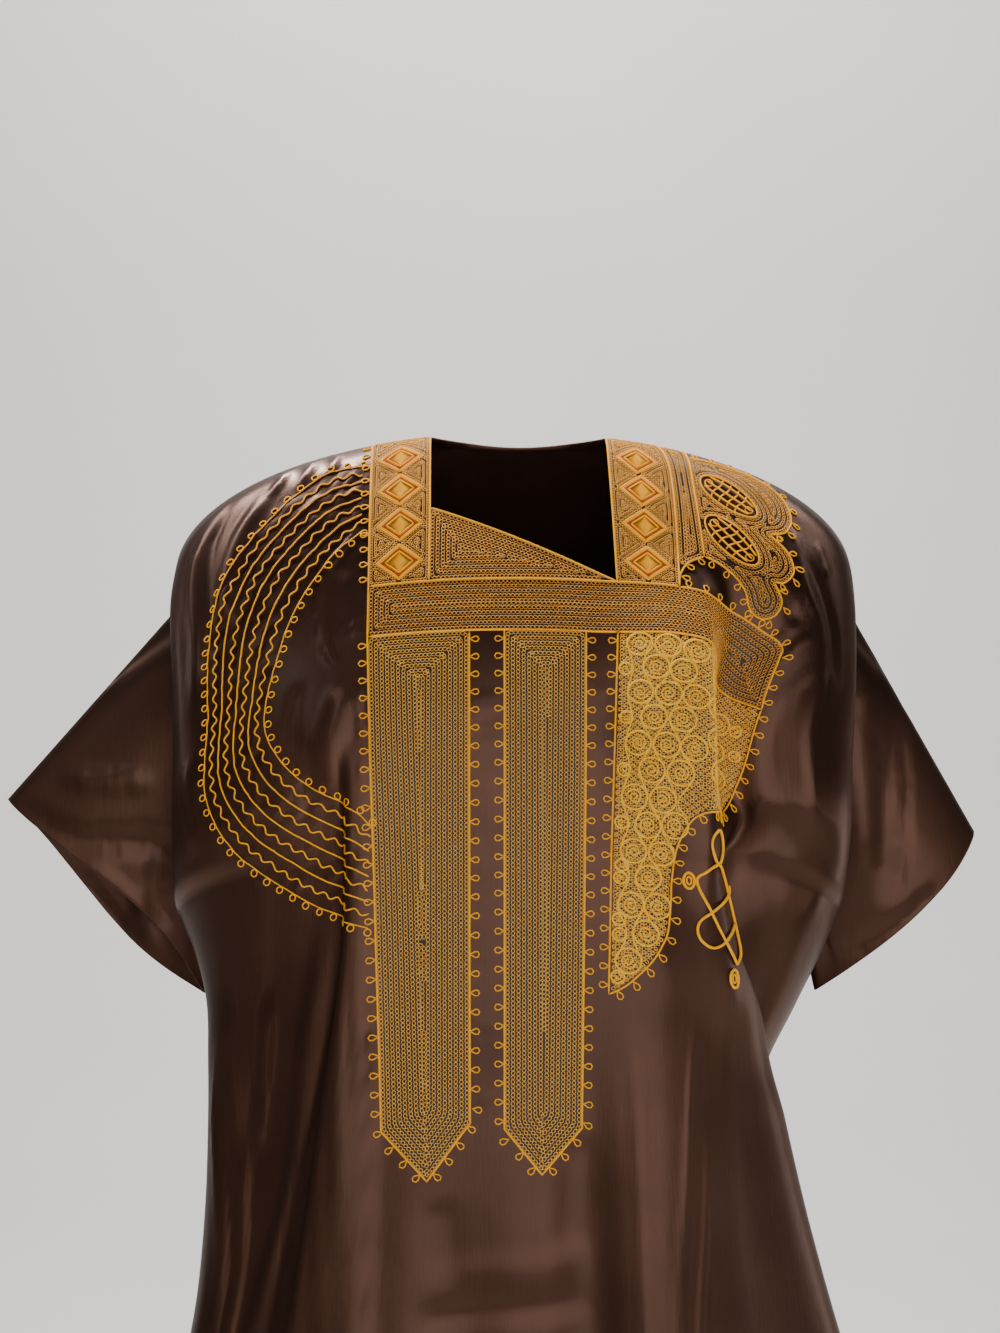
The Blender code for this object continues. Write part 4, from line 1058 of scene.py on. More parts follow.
# Loops along the edges: the line, the side they stand on, 1 for the right of a line that runs down,
# and whether the line is straight or curved between its places.
PicotRow = namedtuple("PicotRow", "line side run")
PICOT_PITCH = 12.7
PICOT_LENGTH = 6.6
PICOT_HALF_WIDTH = 2.1
TEARDROP = (
    LoopPoint(0.00, 0.00), LoopPoint(0.25, 0.35), LoopPoint(0.55, 0.90), LoopPoint(0.85, 0.85),
    LoopPoint(1.00, 0.00), LoopPoint(0.85, -0.85), LoopPoint(0.55, -0.90), LoopPoint(0.25, -0.35),
    LoopPoint(0.00, 0.00),
)
RING_PITCH = 11.5
RING_RADIUS = 2.3
RING_CLEAR = 0.4
SMALL_RING_POINTS = 10
SAME_SPOT = 0.01


def closed_outline(*lines):
    """One closed outline out of several lines, with no point twice in a row."""
    points = np.concatenate([np.array(line, float) for line in lines])
    keep = np.linalg.norm(points - np.roll(points, 1, axis=0), axis=1) > SAME_SPOT
    return points[keep]


def diamond_outline(diamond, scale=1.0):
    """Corners of a diamond. The last one is the first."""
    w, h = diamond.half_width * scale, diamond.half_height * scale
    shape = np.array([(0, -h), (w, 0), (0, h), (-w, 0), (0, -h)])
    return shape + (diamond.across, diamond.down)


def stitch_field(cloth, node, patches, material):
    """Chain stitching that fills patches, in place of the part's plain layer of thread."""
    threads = Threads(cloth)
    for patch in patches:
        rows, points = patch.rows(patch.outline, patch.chain.pitch, *patch.holes)
        rows += gap_stitches(rows, points, patch.chain)
        loops = [chain_stitches(row, patch.chain) for row in rows]
        threads.add(np.concatenate(loops), CHAIN_THREAD, STITCH_LIFT)
    obj = threads.make(node + "_stitches", material)
    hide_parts(node)
    return obj


def straight(corners):
    """Points along straight stretches of an edge."""
    return line_through(corners, OUTLINE_STEP)


def curved(places):
    """Points along a curved edge or cord."""
    return curve_through(places, CURVE_STEP)


def add_borders(threads):
    """Cords along the edges of the embroidery."""
    straight_lines = (
        (*LEFT_EDGE[:-1], *KNIFE_LEFT),
        (*NECK_LEFT, INSET_CORNER),
        (NECK_LEFT[1], NECK_RIGHT[1]),
        NECK_RIGHT,
        (LEFT_EDGE[1], INSET_CORNER, NECK_RIGHT[1], BAND_CORNER),
        (LEFT_EDGE[2], KNIFE_LEFT[-1], KNIFE_RIGHT[0], KNIFE_RIGHT[-1], POCKET_LEFT[0]),
        (*KNIFE_RIGHT, KNIFE_RIGHT[0]),
        POCKET_LEFT,
    )
    curved_lines = (
        (BAND_CORNER, *CHEST_SLOPE), (POCKET_LEFT[0], *CHEST_BOTTOM_SLOPE), POCKET_CURVE, BAND_CORD,
        LEAF_CORD, HOOK, *LEAF_LOBES,
    )
    for line in [straight(line) for line in straight_lines] + [curved(line) for line in curved_lines]:
        threads.add(line, BORDER_CORD)


def add_picots(threads, line, side):
    """Teardrop loops along a line. side is 1 for the right of a line that runs down."""
    places = evenly(np.array(line, float), PICOT_PITCH)
    out = beside(places) * side
    along = unit(np.gradient(places, axis=0))
    loops = []
    for place, way, edge in zip(places[:-1], out, along):
        middle = place + edge * PICOT_PITCH / 2
        loop = [middle + way * p.along * PICOT_LENGTH + edge * p.side * PICOT_HALF_WIDTH for p in TEARDROP]
        loops.append(loop)
    threads.add(loops, THIN_CORD)


def add_edge_loops(threads):
    """Teardrop loops along the outer edges of the embroidery."""
    rows = (
        PicotRow(LEFT_EDGE[:2], -1, straight),
        PicotRow(KNIFE_LEFT[:5], -1, straight),
        PicotRow(KNIFE_LEFT[4:], -1, straight),
        PicotRow(KNIFE_RIGHT[:3], -1, straight),
        PicotRow(KNIFE_RIGHT[2:], -1, straight),
        PicotRow(POCKET_LEFT, -1, straight),
        PicotRow(POCKET_CURVE, -1, curved),
        PicotRow((BAND_CORNER, *CHEST_SLOPE), 1, curved),
        PicotRow(HOOK, -1, curved),
        *(PicotRow(lobe, -1, curved) for lobe in LEAF_LOBES),
    )
    for row in rows:
        add_picots(threads, row.run(row.line), row.side)


def add_rings(threads, line, side):
    """Small round loops along a line."""
    places = evenly(np.array(line, float), RING_PITCH)
    centers = places + beside(places) * side * (RING_RADIUS + RING_CLEAR)
    rings = [ring(center, RING_RADIUS, RING_RADIUS, count=SMALL_RING_POINTS) for center in centers]
    threads.add(rings, THIN_CORD)


def arc_strand(share, kind):
    """One strand of the arc, at a share of the way from its outer to its inner line."""
    outer = evenly(curved(ARC_OUTER), ARC_STEP)
    inner = evenly_counted(curved(ARC_INNER), len(outer))
    strand = outer + (inner - outer) * share
    if kind != "wave":
        return strand
    wave = np.sin(2 * np.pi * lengths_along(strand) / WAVE_LENGTH + WAVE_SHIFT * share)
    return strand + beside(strand) * (WAVE_HEIGHT * wave)[:, None]


def add_arc(threads):
    """Strands of the arc on the left, with rings along its outer and inner strand."""
    for k, kind in enumerate(ARC_STRANDS):
        share = k / (len(ARC_STRANDS) - 1)
        strand = arc_strand(share, kind)
        threads.add(strand, THIN_CORD if kind == "thin" else ARC_CORD)
        if kind == "thin":
            add_rings(threads, strand, 1 if share else -1)


def add_rosette(threads, middle, radius):
    """Ring of cord with a coil inside it. A smaller one has fewer turns."""
    threads.add(ring(middle, radius, radius * COIL_ROUNDNESS), COIL_CORD)
    t = np.linspace(0, 1, COIL_POINTS)
    angle = 2 * np.pi * COIL_TURNS * radius / ROSETTE_RADIUS * t + middle[1]
    way = np.column_stack([np.cos(angle), np.sin(angle)])
    share = COIL_START + (COIL_END - COIL_START) * t
    threads.add(middle + way * radius * share[:, None], ARC_CORD)


def add_coils(threads):
    """Coils and wavy cords of the pocket field."""
    for spot in ROSETTES:
        add_rosette(threads, spot, ROSETTE_RADIUS)
    for spot in SMALL_ROSETTES:
        add_rosette(threads, spot, SMALL_ROSETTE_RADIUS)
    for line in SCROLLS:
        threads.add(curved(line), ARC_CORD)


def add_diamonds(threads, scales):
    """Diamonds of cord one inside the other, at these scales of each shoulder diamond."""
    for diamond in (*LEFT_DIAMONDS, *RIGHT_DIAMONDS):
        for scale in scales:
            threads.add(straight(diamond_outline(diamond, scale)), CORD)


def add_diamond_cords(threads):
    """The gold diamonds of the shoulder bands."""
    add_diamonds(threads, DIAMOND_CORDS)


def add_diamond_lines(threads):
    """The rust diamonds of the shoulder bands."""
    add_diamonds(threads, DIAMOND_LINES)


def add_fillings(threads):
    """Side-by-side strands that fill the middle of each diamond."""
    for diamond in (*LEFT_DIAMONDS, *RIGHT_DIAMONDS):
        half_width, half_height = diamond.half_width * FILLING, diamond.half_height * FILLING
        for offset in np.arange(FILLING_START - half_height, half_height, FILLING_STEP):
            half = half_width * (1 - abs(offset) / half_height)
            x, y = diamond.across, diamond.down + offset
            threads.add([(x - half, y), (x, y), (x + half, y)], THIN_CORD)


def add_oval(threads, oval):
    """Oval of the leaf with the lattice knot inside it."""
    middle = np.array([oval.across, oval.down])
    length, width = oval.half_length, oval.half_width
    threads.add(ring(middle, length, width, oval.angle, count=OVAL_POINTS), BORDER_CORD)
    lengthwise = [[(along * length, offset * width * swell) for along, swell in LATTICE_SWELL]
                  for offset in LATTICE_LENGTHWISE]
    crosswise = [[(offset * length + sway, reach * width) for sway, reach in LATTICE_SWAY]
                 for offset in LATTICE_CROSSWISE]
    for lift, strands in ((CROSSING_LIFT, lengthwise), (0.0, crosswise)):
        for strand in strands:
            line = turned(np.array(strand), oval.angle) + middle
            threads.add(curve_through(line, LATTICE_STEP), CORD, lift)
    for end in (-1, 1):
        center = middle + turned(np.array([[end * END_RING.at * length, 0]]), oval.angle)[0]
        shape = ring(center, END_RING.length * length, END_RING.width * width, oval.angle, END_RING.points)
        threads.add(shape, THIN_CORD)


def add_lattices(threads):
    """Both ovals of the leaf."""
    for oval in OVALS:
        add_oval(threads, oval)


def add_knot(threads):
    """Knot on the right, with its strands one above another, and its two buttons."""
    for k, strand in enumerate(KNOT_STRANDS):
        threads.add(curve_through(strand, KNOT_STEP), KNOT_CORD, KNOT_LIFT * k)
    for button in KNOT_BUTTONS:
        threads.add(ring(button, *BUTTON_OUTER), KNOT_CORD)
        threads.add(ring(button, *BUTTON_INNER), BORDER_CORD)


# Surfaces. Noise between these two values goes from the dark to the light shade. A bump follows a
# texture's node, and its depth is in metres.
SHADE_ENDS = (0.3, 0.7)
Bump = namedtuple("Bump", "node strength depth")


def surface(name, color, roughness, **sockets):
    """Material with plain values on its shader's sockets."""
    made = bpy.data.materials.new(name)
    made.use_nodes = True
    shader = made.node_tree.nodes["Principled BSDF"]
    shader.inputs["Base Color"].default_value = (*color, 1)
    shader.inputs["Roughness"].default_value = roughness
    for socket, value in sockets.items():
        shader.inputs[socket.replace("_", " ")].default_value = value
    return made


def add_node(made, kind, **inputs):
    """Node of a material with values, or other nodes' outputs, on its inputs."""
    node = made.node_tree.nodes.new(kind)
    for socket, value in inputs.items():
        target = node.inputs[socket.replace("_", " ")]
        if isinstance(value, bpy.types.NodeSocket):
            made.node_tree.links.new(value, target)
        else:
            target.default_value = value
    return node


def join(made, output, socket):
    """Link an output to a socket of the material's shader."""
    made.node_tree.links.new(output, made.node_tree.nodes["Principled BSDF"].inputs[socket])


def add_shades(made, place, dark, light, scale, detail):
    """Colour that varies softly between two."""
    noise = add_node(made, "ShaderNodeTexNoise", Vector=place, Scale=scale, Detail=detail)
    ramp = add_node(made, "ShaderNodeValToRGB", Fac=noise.outputs["Fac"])
    for element, position, color in zip(ramp.color_ramp.elements, SHADE_ENDS, (dark, light)):
        element.position = position
        element.color = (*color, 1)
    join(made, ramp.outputs["Color"], "Base Color")


def add_bumps(made, *bumps):
    """Bumps one over the other."""
    below = {}
    for bump in bumps:
        height = bump.node.outputs["Fac"]
        node = add_node(
            made, "ShaderNodeBump", Height=height, Strength=bump.strength, Distance=bump.depth, **below,
        )
        below = {"Normal": node.outputs["Normal"]}
    join(made, below["Normal"], "Normal")


def satin_surface(name, dark, light, metallic, roughness):
    """Brown satin: a fine weave, threads that run down the cloth and faint crinkles."""
    made = surface(
        name, light, roughness, Metallic=metallic, Anisotropic=0.7, Coat_Weight=0.08, Coat_Roughness=0.20,
    )
    place = add_node(made, "ShaderNodeTexCoord").outputs["Object"]
    add_shades(made, place, dark, light, scale=18.0, detail=4.0)
    stretched = add_node(made, "ShaderNodeMapping", Vector=place, Scale=(1.0, 1.0, 0.28)).outputs["Vector"]
    crinkle = add_node(made, "ShaderNodeTexNoise", Vector=stretched, Scale=42.0, Detail=4.0)
    drawn = add_node(made, "ShaderNodeMapping", Vector=place, Scale=(1.0, 1.0, 0.06)).outputs["Vector"]
    streaks = add_node(made, "ShaderNodeTexNoise", Vector=drawn, Scale=620.0, Detail=3.0)
    weave = add_node(made, "ShaderNodeTexWave", Vector=place, Scale=900.0, Distortion=1.0, Detail=1.0)
    add_bumps(made, Bump(crinkle, 0.14, 0.002), Bump(streaks, 0.30, 0.0004), Bump(weave, 0.08, 0.0002))
    return made


def thread_surface(name, dark, light, roughness):
    """Spun thread, with its twist as a fine bump."""
    made = surface(name, light, roughness, Specular_IOR_Level=0.2, Specular_Tint=(*light, 1))
    place = add_node(made, "ShaderNodeTexCoord").outputs["Object"]
    add_shades(made, place, dark, light, scale=260.0, detail=2.0)
    twist = add_node(made, "ShaderNodeTexWave", Vector=place, Scale=520.0, Distortion=2.0, Detail=1.0)
    twist.bands_direction = "DIAGONAL"
    add_bumps(made, Bump(twist, 0.5, 0.0002))
    return made


def painted_surface(name, dark, light, roughness):
    """Painted floor or backdrop, with faint unevenness."""
    made = surface(name, light, roughness)
    place = add_node(made, "ShaderNodeTexCoord").outputs["Object"]
    add_shades(made, place, dark, light, scale=1.5, detail=4.0)
    return made


satin = satin_surface("satin", (0.060, 0.0250, 0.0145), (0.074, 0.0315, 0.0185), 0.85, 0.42)
# Painted shade: a darker, matte, non-metallic copy of the satin, standing in for the shade that falls
# between the threads of the stitching.
painted_shade_satin = satin_surface(
    "satin with painted shade under stitches", (0.020, 0.0090, 0.0055), (0.028, 0.0130, 0.0080), 0.0, 0.7,
)
deep_gold = thread_surface("deep gold thread", (0.72, 0.32, 0.050), (0.92, 0.44, 0.080), 0.55)
gold = thread_surface("gold thread", (1.00, 0.47, 0.060), (1.00, 0.59, 0.110), 0.55)
bright_gold = thread_surface("bright gold cord", (1.00, 0.40, 0.006), (1.00, 0.48, 0.015), 0.55)
pale_gold = thread_surface("pale gold cord", (1.00, 0.48, 0.015), (1.00, 0.60, 0.040), 0.55)
rust = thread_surface("rust thread", (0.42, 0.065, 0.002), (0.55, 0.095, 0.003), 0.5)
brown_thread = thread_surface("brown thread", (0.045, 0.020, 0.012), (0.060, 0.028, 0.017), 0.5)
pale_paint = painted_surface("pale paint", (0.7954, 0.7760, 0.7469), (0.82, 0.80, 0.77), 0.7)


def worn(obj):
    """A piece of the garment rides on its one body."""
    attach(obj, "root")
    return obj


# Body

front = Cloth("front")
back = Cloth("back")

front_net = Net(front, front_guides(front), ROWS)


def idle_pleat(places):
    """Most columns of the right pleat's hidden cloth, at levels where it has none."""
    low, high = front_net.counts[list(PLEAT_GUIDES)]
    level = np.interp(places[:, 1], np.arange(len(ROWS)), ROWS)
    idle = (places[:, 0] > low) & (places[:, 0] < high) & (level < FLAT_LEVEL)
    return idle & ((places[:, 0] - low) % IDLE_COLUMNS != 0)


def panel(name, net, neck, skip=None):
    """Shell of the front or the back."""
    places, faces = panel_triangles(net, panel_outline(net, neck), skip)
    outer, _ = net.cloth.at(*places.T, HALF_CLOTH)
    inner, _ = net.cloth.at(*places.T, -HALF_CLOTH)
    obj = worn(shell(name + "_cloth", outer, inner, faces, satin))
    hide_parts(name)
    return obj, places * 1000, faces


NECK_STEP = 4.0
neck = line_through((*NECK_LEFT, *NECK_RIGHT[::-1]), NECK_STEP) / 1000
neck[:, 1] = np.maximum(neck[:, 1], SEAM_GAP)
front_shell, front_places, front_faces = panel("front", front_net, neck, idle_pleat)

BACK_NECK = (-0.059, 0.067)
BACK_NECK_DEPTH = 0.020
BACK_NECK_POINTS = 33
across = np.linspace(*BACK_NECK, BACK_NECK_POINTS)
dip = 1 - ((across - np.mean(BACK_NECK)) / (np.ptp(BACK_NECK) / 2)) ** 2
back_neck = np.column_stack([across, SEAM_GAP + BACK_NECK_DEPTH * dip])
back_net = Net(back, back_guides(back), ROWS[::2])
back_shell, _, _ = panel("back", back_net, back_neck)

# Sleeves run from the armhole to a slanting cuff, as in the part. tip and end are the cuff's highest
# and lowest points. The bows curve the two sides of the cuff out past the line between them.
Cuff = namedtuple(
    "Cuff", "sign tip_x tip_z end_x end_z front_bow back_bow bow_power front_depth back_depth",
)
CUFFS = {
    "left": Cuff(-1, 0.363, -0.261, 0.222, -0.400, -0.014, 0.013, 1.5, 0.026, 0.028),
    "right": Cuff(1, 0.332, -0.284, 0.218, -0.398, 0.010, 0.000, 0.75, 0.026, 0.028),
}
SLEEVE_START = 0.0003
SLEEVE_BOTTOM = UNDERARM - 0.004
SLEEVE_TUCK = 2.5
TUCK_GROWS = (0.20, 0.60)
TUCK_FADES = (0.80, 1.05)
SLEEVE_RUNS = 61
RING_HALF = 61
SEAM_STEP = 0.003
CUFF_POWER = 0.7
CUFF_WIDTH = 1.15
CUFF_NARROWING = 0.45
LEAVING_PULL = 0.45
ARRIVING_PULL = 0.35
STRAIGHT_UNTIL = 0.30
UNDER_FROM = 0.75
UNDER_RISE = 0.5
START_UNDER_FROM = 0.85
SLEEVE_CREASE_STEP = 0.02
SLEEVE_CREASES_FROM = 0.15


def armhole(hand, share):
    """Points of the armhole seam and the way the body's cloth runs there, from shoulder to underarm."""
    sides = []
    for cloth in (front, back):
        down = share * SLEEVE_BOTTOM
        edge = cloth.edge(hand, down)
        end, _ = cloth.at(edge, down)
        before, _ = cloth.at(edge - np.sign(edge) * SEAM_STEP, down)
        sides.append((end, unit(end - before)))
    return sides


def cuff_side(cuff, share, depth, bow):
    """One side of the cuff, from its tip to its lower end."""
    tip = np.array([cuff.sign * cuff.tip_x, 0, cuff.tip_z])
    end = np.array([cuff.sign * cuff.end_x, 0, cuff.end_z])
    slant = (end - tip) / np.linalg.norm(end - tip)
    out = np.array([slant[2] * -cuff.sign, 0, slant[0] * cuff.sign])
    bulge = np.sin(np.pi * share**cuff.bow_power)[:, None] * bow
    opening = np.sin(np.pi * share) ** CUFF_POWER * (CUFF_WIDTH - CUFF_NARROWING * share)
    side = opening[:, None] * depth * np.array([0, 1, 0])
    return tip + (end - tip) * share[:, None] + out * bulge + side


def turned_toward(ways, toward, amount):
    """Unit ways, each turned toward one way by its own amount from 0 to 1."""
    return unit(ways * (1 - amount[:, None]) + toward * amount[:, None])


def sleeve_rings(hand):
    """Rings of a sleeve from the armhole to the cuff, each down the front and up the back."""
    cuff = CUFFS[hand]
    share = np.linspace(0, 1, RING_HALF)
    (front_seam, front_way), (back_seam, back_way) = armhole(hand, share)
    start = np.concatenate([front_seam, back_seam[-2:0:-1]])
    way = np.concatenate([front_way, back_way[-2:0:-1]])
    around = np.concatenate([share, share[-2:0:-1]])
    under = np.array([cuff.sign, 0, UNDER_RISE])
    end = np.concatenate([
        cuff_side(cuff, share, -cuff.front_depth, cuff.front_bow),
        cuff_side(cuff, share, cuff.back_depth, cuff.back_bow)[-2:0:-1],
    ])
    start = start + turned_toward(way, under, eased(around, START_UNDER_FROM, 1.0)) * SLEEVE_START
    leaving = turned_toward(way, unit(end - start), eased(-around, -STRAIGHT_UNTIL, 0))
    leaving = turned_toward(leaving, under, eased(around, UNDER_FROM, 1.0))
    length = np.linalg.norm(end - start, axis=1, keepdims=True)
    tuck = eased(around, *TUCK_GROWS) * (1 - eased(around, *TUCK_FADES))
    rings = []
    for t in np.linspace(0, 1, SLEEVE_RUNS):
        hold = t * (1 - t) ** 2 * LEAVING_PULL * length * leaving
        arrive = -(t**2) * (1 - t) * ARRIVING_PULL * (end - start)
        section = start + (end - start) * (3 * t**2 - 2 * t**3) + hold + arrive
        tucked = (1 - t) ** (1 + SLEEVE_TUCK * tuck)
        section[:, 1] = end[:, 1] + (start[:, 1] - end[:, 1]) * tucked
        rings.append(section)
    return np.array(rings)


def ring_normals(hand, rings):
    """Outward normals of a sleeve's rings."""
    along = np.gradient(rings, axis=0)
    about = (np.roll(rings, -1, axis=1) - np.roll(rings, 1, axis=1)) / 2
    return unit(np.cross(about, along) * -CUFFS[hand].sign)


def creased(hand, rings):
    """Rings with the sleeve's creases raised out of them, in front and behind."""
    height = np.zeros(rings.shape[:2])
    for crease in SLEEVE_CREASES[hand]:
        spots = curve_through(crease.spots, SLEEVE_CREASE_STEP)
        sizes = faded(crease.height / 1000, len(spots))
        run = np.round(spots[:, 0] * (SLEEVE_RUNS - 1)).astype(int)
        around = np.round(spots[:, 1] * (RING_HALF - 1)).astype(int)
        for column in (around, -around):
            away = np.linalg.norm(rings[:, :, None] - rings[run, column], axis=-1)
            raised = ridge(away / (crease.half_width / 1000)) * sizes
            height += raised.max(axis=-1) if crease.height > 0 else raised.min(axis=-1)
    free = eased(np.linspace(0, 1, SLEEVE_RUNS), 0.0, SLEEVE_CREASES_FROM)[:, None]
    return rings + ring_normals(hand, rings) * (height * free)[..., None]


def sleeve(hand):
    """Shell of one sleeve, open at both ends."""
    rings = creased(hand, sleeve_rings(hand))
    runs, around = rings.shape[:2]
    normal = ring_normals(hand, rings)
    index = np.arange(runs * around).reshape(runs, around)
    ahead = np.roll(index, -1, axis=1)
    first = np.stack([index[:-1], ahead[:-1], ahead[1:]], axis=-1).reshape(-1, 3)
    second = np.stack([index[:-1], ahead[1:], index[1:]], axis=-1).reshape(-1, 3)
    faces = np.concatenate([first, second])
    if hand == "right":
        faces = faces[:, ::-1]
    outer = (rings + normal * HALF_CLOTH).reshape(-1, 3)
    inner = (rings - normal * HALF_CLOTH).reshape(-1, 3)
    name = "sleeve_" + hand
    obj = worn(shell(name + "_cloth", outer, inner, faces, satin))
    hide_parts(name)
    return obj, rings, normal


sleeve_left, left_rings, left_normals = sleeve("left")
sleeve_right, right_rings, right_normals = sleeve("right")

# Embroidery

chest_bottom = curve_through((POCKET_LEFT[0], *CHEST_BOTTOM_SLOPE), OUTLINE_STEP)
chest_top = curve_through((BAND_CORNER, *CHEST_SLOPE), OUTLINE_STEP)
chest_outline = closed_outline(
    (LEFT_EDGE[1], INSET_CORNER, NECK_RIGHT[1], BAND_CORNER), chest_top, chest_bottom[::-1],
    (KNIFE_RIGHT[-1], KNIFE_RIGHT[0], KNIFE_LEFT[-1], LEFT_EDGE[2]),
)
band_left_outline = closed_outline((LEFT_EDGE[0], *NECK_LEFT, INSET_CORNER, LEFT_EDGE[1]))
band_edge = curve_through(BAND_CORD, OUTLINE_STEP)
diamond_band_outline = closed_outline(NECK_RIGHT, band_edge[::-1])
plain_band_outline = closed_outline(band_edge, curved(HOOK), curve_through(LEAF_CORD, OUTLINE_STEP)[::-1])
leaf_outline = closed_outline(
    curve_through(LEAF_CORD[1:], OUTLINE_STEP), *(curved(lobe) for lobe in LEAF_LOBES),
)
pocket_edge = curve_through(POCKET_CURVE, OUTLINE_STEP)
pocket_outline = closed_outline(POCKET_LEFT, pocket_edge, chest_bottom[::-1])
inset_outline = closed_outline((NECK_LEFT[1], NECK_RIGHT[1], INSET_CORNER))

left_diamonds = [diamond_outline(diamond) for diamond in LEFT_DIAMONDS]
right_diamonds = [diamond_outline(diamond) for diamond in RIGHT_DIAMONDS]
ovals = [ring((oval.across, oval.down), oval.half_length, oval.half_width, oval.angle) for oval in OVALS]

# Chain stitching of each layer of thread: outlines, how rows fill them, the chain, and holes.
Patch = namedtuple("Patch", "outline rows chain holes")
FIELDS = {
    "knife_left": (Patch(closed_outline(KNIFE_LEFT), nested_rows, WIDE_CHAIN, ()),),
    "knife_right": (Patch(closed_outline(KNIFE_RIGHT), nested_rows, WIDE_CHAIN, ()),),
    "chest_band": (Patch(chest_outline, nested_rows, WIDE_CHAIN, ()),),
    "shoulder_band_left": (Patch(band_left_outline, nested_rows, FINE_CHAIN, left_diamonds),),
    "shoulder_band_right": (
        Patch(diamond_band_outline, nested_rows, FINE_CHAIN, right_diamonds),
        Patch(plain_band_outline, nested_rows, OPEN_CHAIN, ()),
    ),
    "shoulder_leaf": (Patch(leaf_outline, nested_rows, OPEN_CHAIN, ovals),),
    "neck_inset": (Patch(inset_outline, nested_rows, WIDE_CHAIN, ()),),
    "pocket_field": (Patch(pocket_outline, lace_rows, LACE_CHAIN, ()),),
}
FIELD_THREADS = {"knife_left": gold, "knife_right": gold, "pocket_field": gold}
for node, patches in FIELDS.items():
    worn(stitch_field(front, node, patches, FIELD_THREADS.get(node, deep_gold)))

# Painted shade: the cloth under the stitches takes a darker, matte copy of the satin, for the shade
# between the threads.
ON_OUTLINE = 0.1
front_shell.data.materials.append(painted_shade_satin)
stitched = np.zeros(len(front_faces), bool)
for patch in [patch for patches in FIELDS.values() for patch in patches]:
    near = distance_to(front_places, patch.outline) < ON_OUTLINE
    inside = within(front_places, patch.outline) | near
    for hole in patch.holes:
        inside &= ~within(front_places, hole)
    stitched |= inside[front_faces].all(axis=1)
slots = np.zeros(len(front_shell.data.polygons), np.int32)
slots[:len(stitched)] = stitched
front_shell.data.polygons.foreach_set("material_index", slots)

# Hem stitching
HEM_INSET = 0.014
HEM_STEP = 0.004
CUFF_RING = -6
STITCH = 0.0035
STITCH_SPACING = 1.35
STITCH_POINTS = 3


def add_hem(threads, points, normals):
    """Row of short stitches along points on the cloth."""
    length = lengths_along(points)
    starts = np.arange(0, length[-1] - STITCH, STITCH * STITCH_SPACING)
    at = starts[:, None] + np.linspace(0, STITCH, STITCH_POINTS)
    places = np.stack([np.interp(at, length, points[:, axis]) for axis in range(3)], axis=-1)
    ways = unit(np.stack([np.interp(at, length, normals[:, axis]) for axis in range(3)], axis=-1))
    threads.add_tubes(places + ways * HALF_CLOTH, ways, HEM_THREAD)


def add_hems(threads):
    """Stitching of the body's hem, front and back, and of both cuffs."""
    low = HEM - HEM_INSET
    for cloth in (front, back):
        start, end = cloth.edge("left", low) + HEM_INSET, cloth.edge("right", low) - HEM_INSET
        across = np.arange(start, end, HEM_STEP)
        add_hem(threads, *cloth.at(across, np.full(len(across), low)))
    for rings, normals in ((left_rings, left_normals), (right_rings, right_normals)):
        add_hem(threads, rings[CUFF_RING], normals[CUFF_RING])


Sewn = namedtuple("Sewn", "name add material")
SEWN = (
    Sewn("border_cords", add_borders, bright_gold),
    Sewn("picots", add_edge_loops, bright_gold),
    Sewn("arc_strands", add_arc, bright_gold),
    Sewn("pocket_coils", add_coils, pale_gold),
    Sewn("diamond_cords", add_diamond_cords, bright_gold),
    Sewn("diamond_lines", add_diamond_lines, rust),
    Sewn("diamond_fillings", add_fillings, bright_gold),
    Sewn("leaf_lattices", add_lattices, bright_gold),
    Sewn("pocket_knot", add_knot, bright_gold),
    Sewn("hem_stitches", add_hems, brown_thread),
)
for piece in SEWN:
    threads = Threads(front)
    piece.add(threads)
    worn(threads.make(piece.name, piece.material))

# Floor, backdrop, lights and camera
FLOOR_Z = -1.47
BACKDROP_Y = 6.5
BEND = 2.5
FLOOR_FRONT = -14.0
FLOOR_SIDE = 12.0
BACKDROP_TOP = 9.0
BEND_POINTS = 24


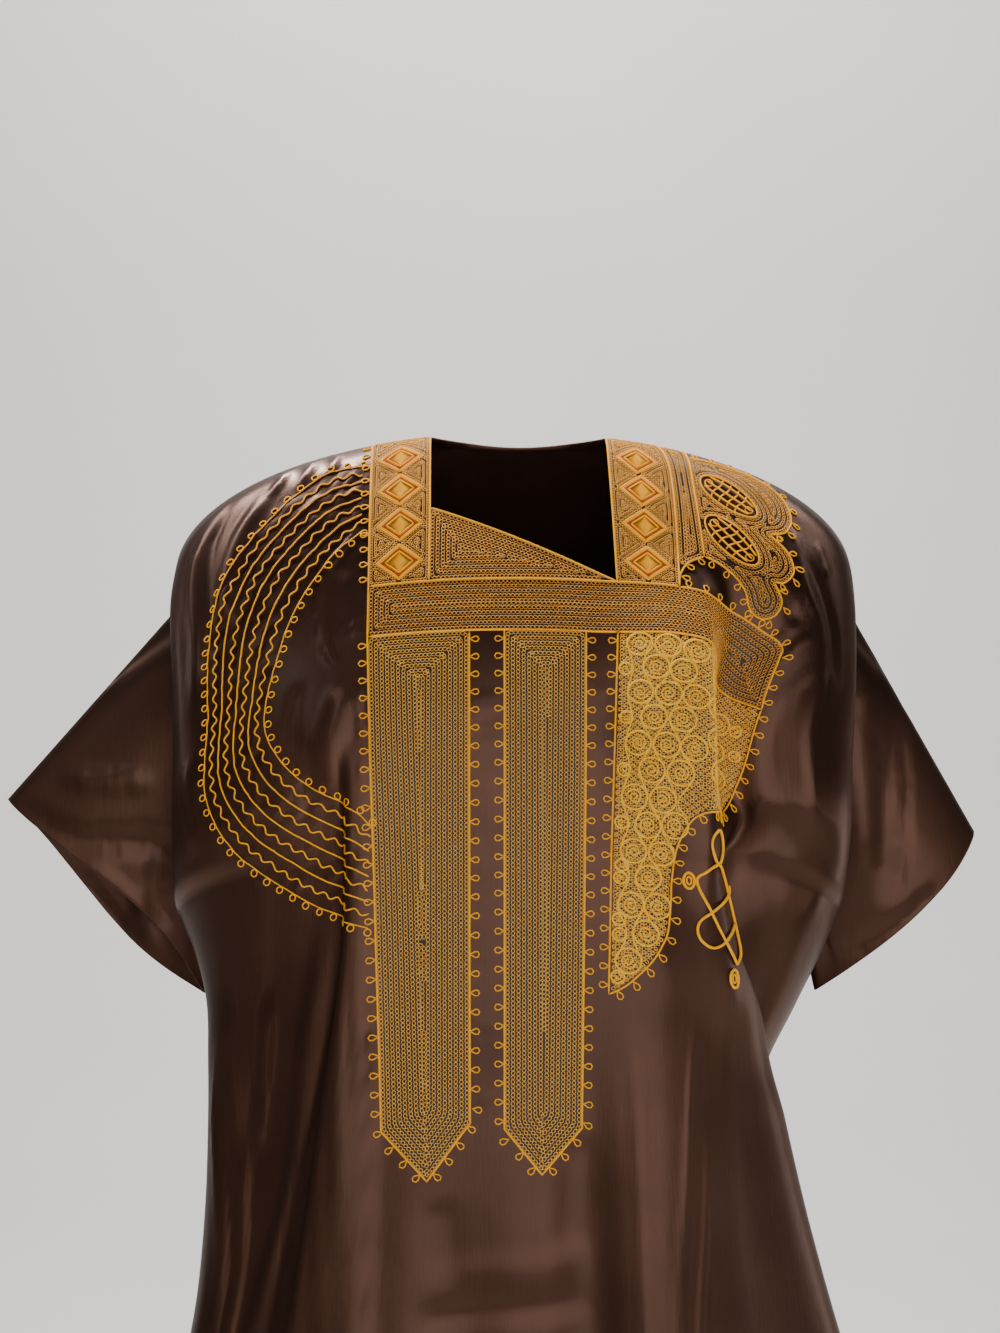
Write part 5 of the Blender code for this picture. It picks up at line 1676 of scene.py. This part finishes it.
def sweep():
    """Floor that curves up into the backdrop."""
    turn = np.linspace(0, np.pi / 2, BEND_POINTS)
    y = np.concatenate([[FLOOR_FRONT], BACKDROP_Y - BEND + BEND * np.sin(turn), [BACKDROP_Y]])
    z = np.concatenate([[FLOOR_Z], FLOOR_Z + BEND - BEND * np.cos(turn), [BACKDROP_TOP]])
    x = np.array([-FLOOR_SIDE, FLOOR_SIDE])
    vertices = [(a, b, c) for b, c in zip(y, z) for a in x]
    index = np.arange(len(y) * 2).reshape(-1, 2)
    faces = np.stack([index[:-1, 0], index[:-1, 1], index[1:, 1], index[1:, 0]], axis=-1)
    return mesh_object("floor", vertices, faces, pale_paint)


sweep()

Lamp = namedtuple("Lamp", "name place aim size power")
LAMPS = (
    Lamp("front", (0.5, -3.2, 0.30), (0.0, 0.0, -0.45), 3.0, 74),
    Lamp("high_left", (-1.6, -2.2, 1.5), (0.0, 0.0, -0.2), 0.6, 6),
    Lamp("top_back", (-0.8, 0.7, 2.0), (-0.1, 0.0, -0.1), 0.5, 110),
    Lamp("top_right", (0.9, 0.7, 1.9), (0.2, 0.0, -0.1), 0.5, 42),
    Lamp("side_left", (-2.4, 0.5, 0.3), (0.0, 0.0, -0.5), 0.5, 3),
    Lamp("side_right", (2.4, 0.4, -0.7), (0.2, 0.0, -0.8), 1.0, 10),
    Lamp("backdrop", (0.0, 3.0, 3.8), (0.0, 6.5, 0.0), 2.4, 330),
)
for lamp in LAMPS:
    data = bpy.data.lights.new(lamp.name, "AREA")
    data.shape = "DISK"
    data.size = lamp.size
    data.energy = lamp.power
    light = bpy.data.objects.new(lamp.name, data)
    light.location = lamp.place
    light.rotation_euler = (Vector(lamp.aim) - Vector(lamp.place)).to_track_quat("-Z", "Y").to_euler()
    bpy.context.scene.collection.objects.link(light)

world = bpy.data.worlds.new("studio")
world.use_nodes = True
world.node_tree.nodes["Background"].inputs["Color"].default_value = (0.93, 0.95, 1.0, 1)
world.node_tree.nodes["Background"].inputs["Strength"].default_value = 0.06
bpy.context.scene.world = world

camera_data = bpy.data.cameras.new("camera")
camera_data.lens = 75
camera_data.sensor_width = 36
camera = bpy.data.objects.new("camera", camera_data)
camera.location = (-0.009, -2.0, -0.165)
camera.rotation_euler = (np.pi / 2, 0, 0)
bpy.context.scene.collection.objects.link(camera)
bpy.context.scene.camera = camera
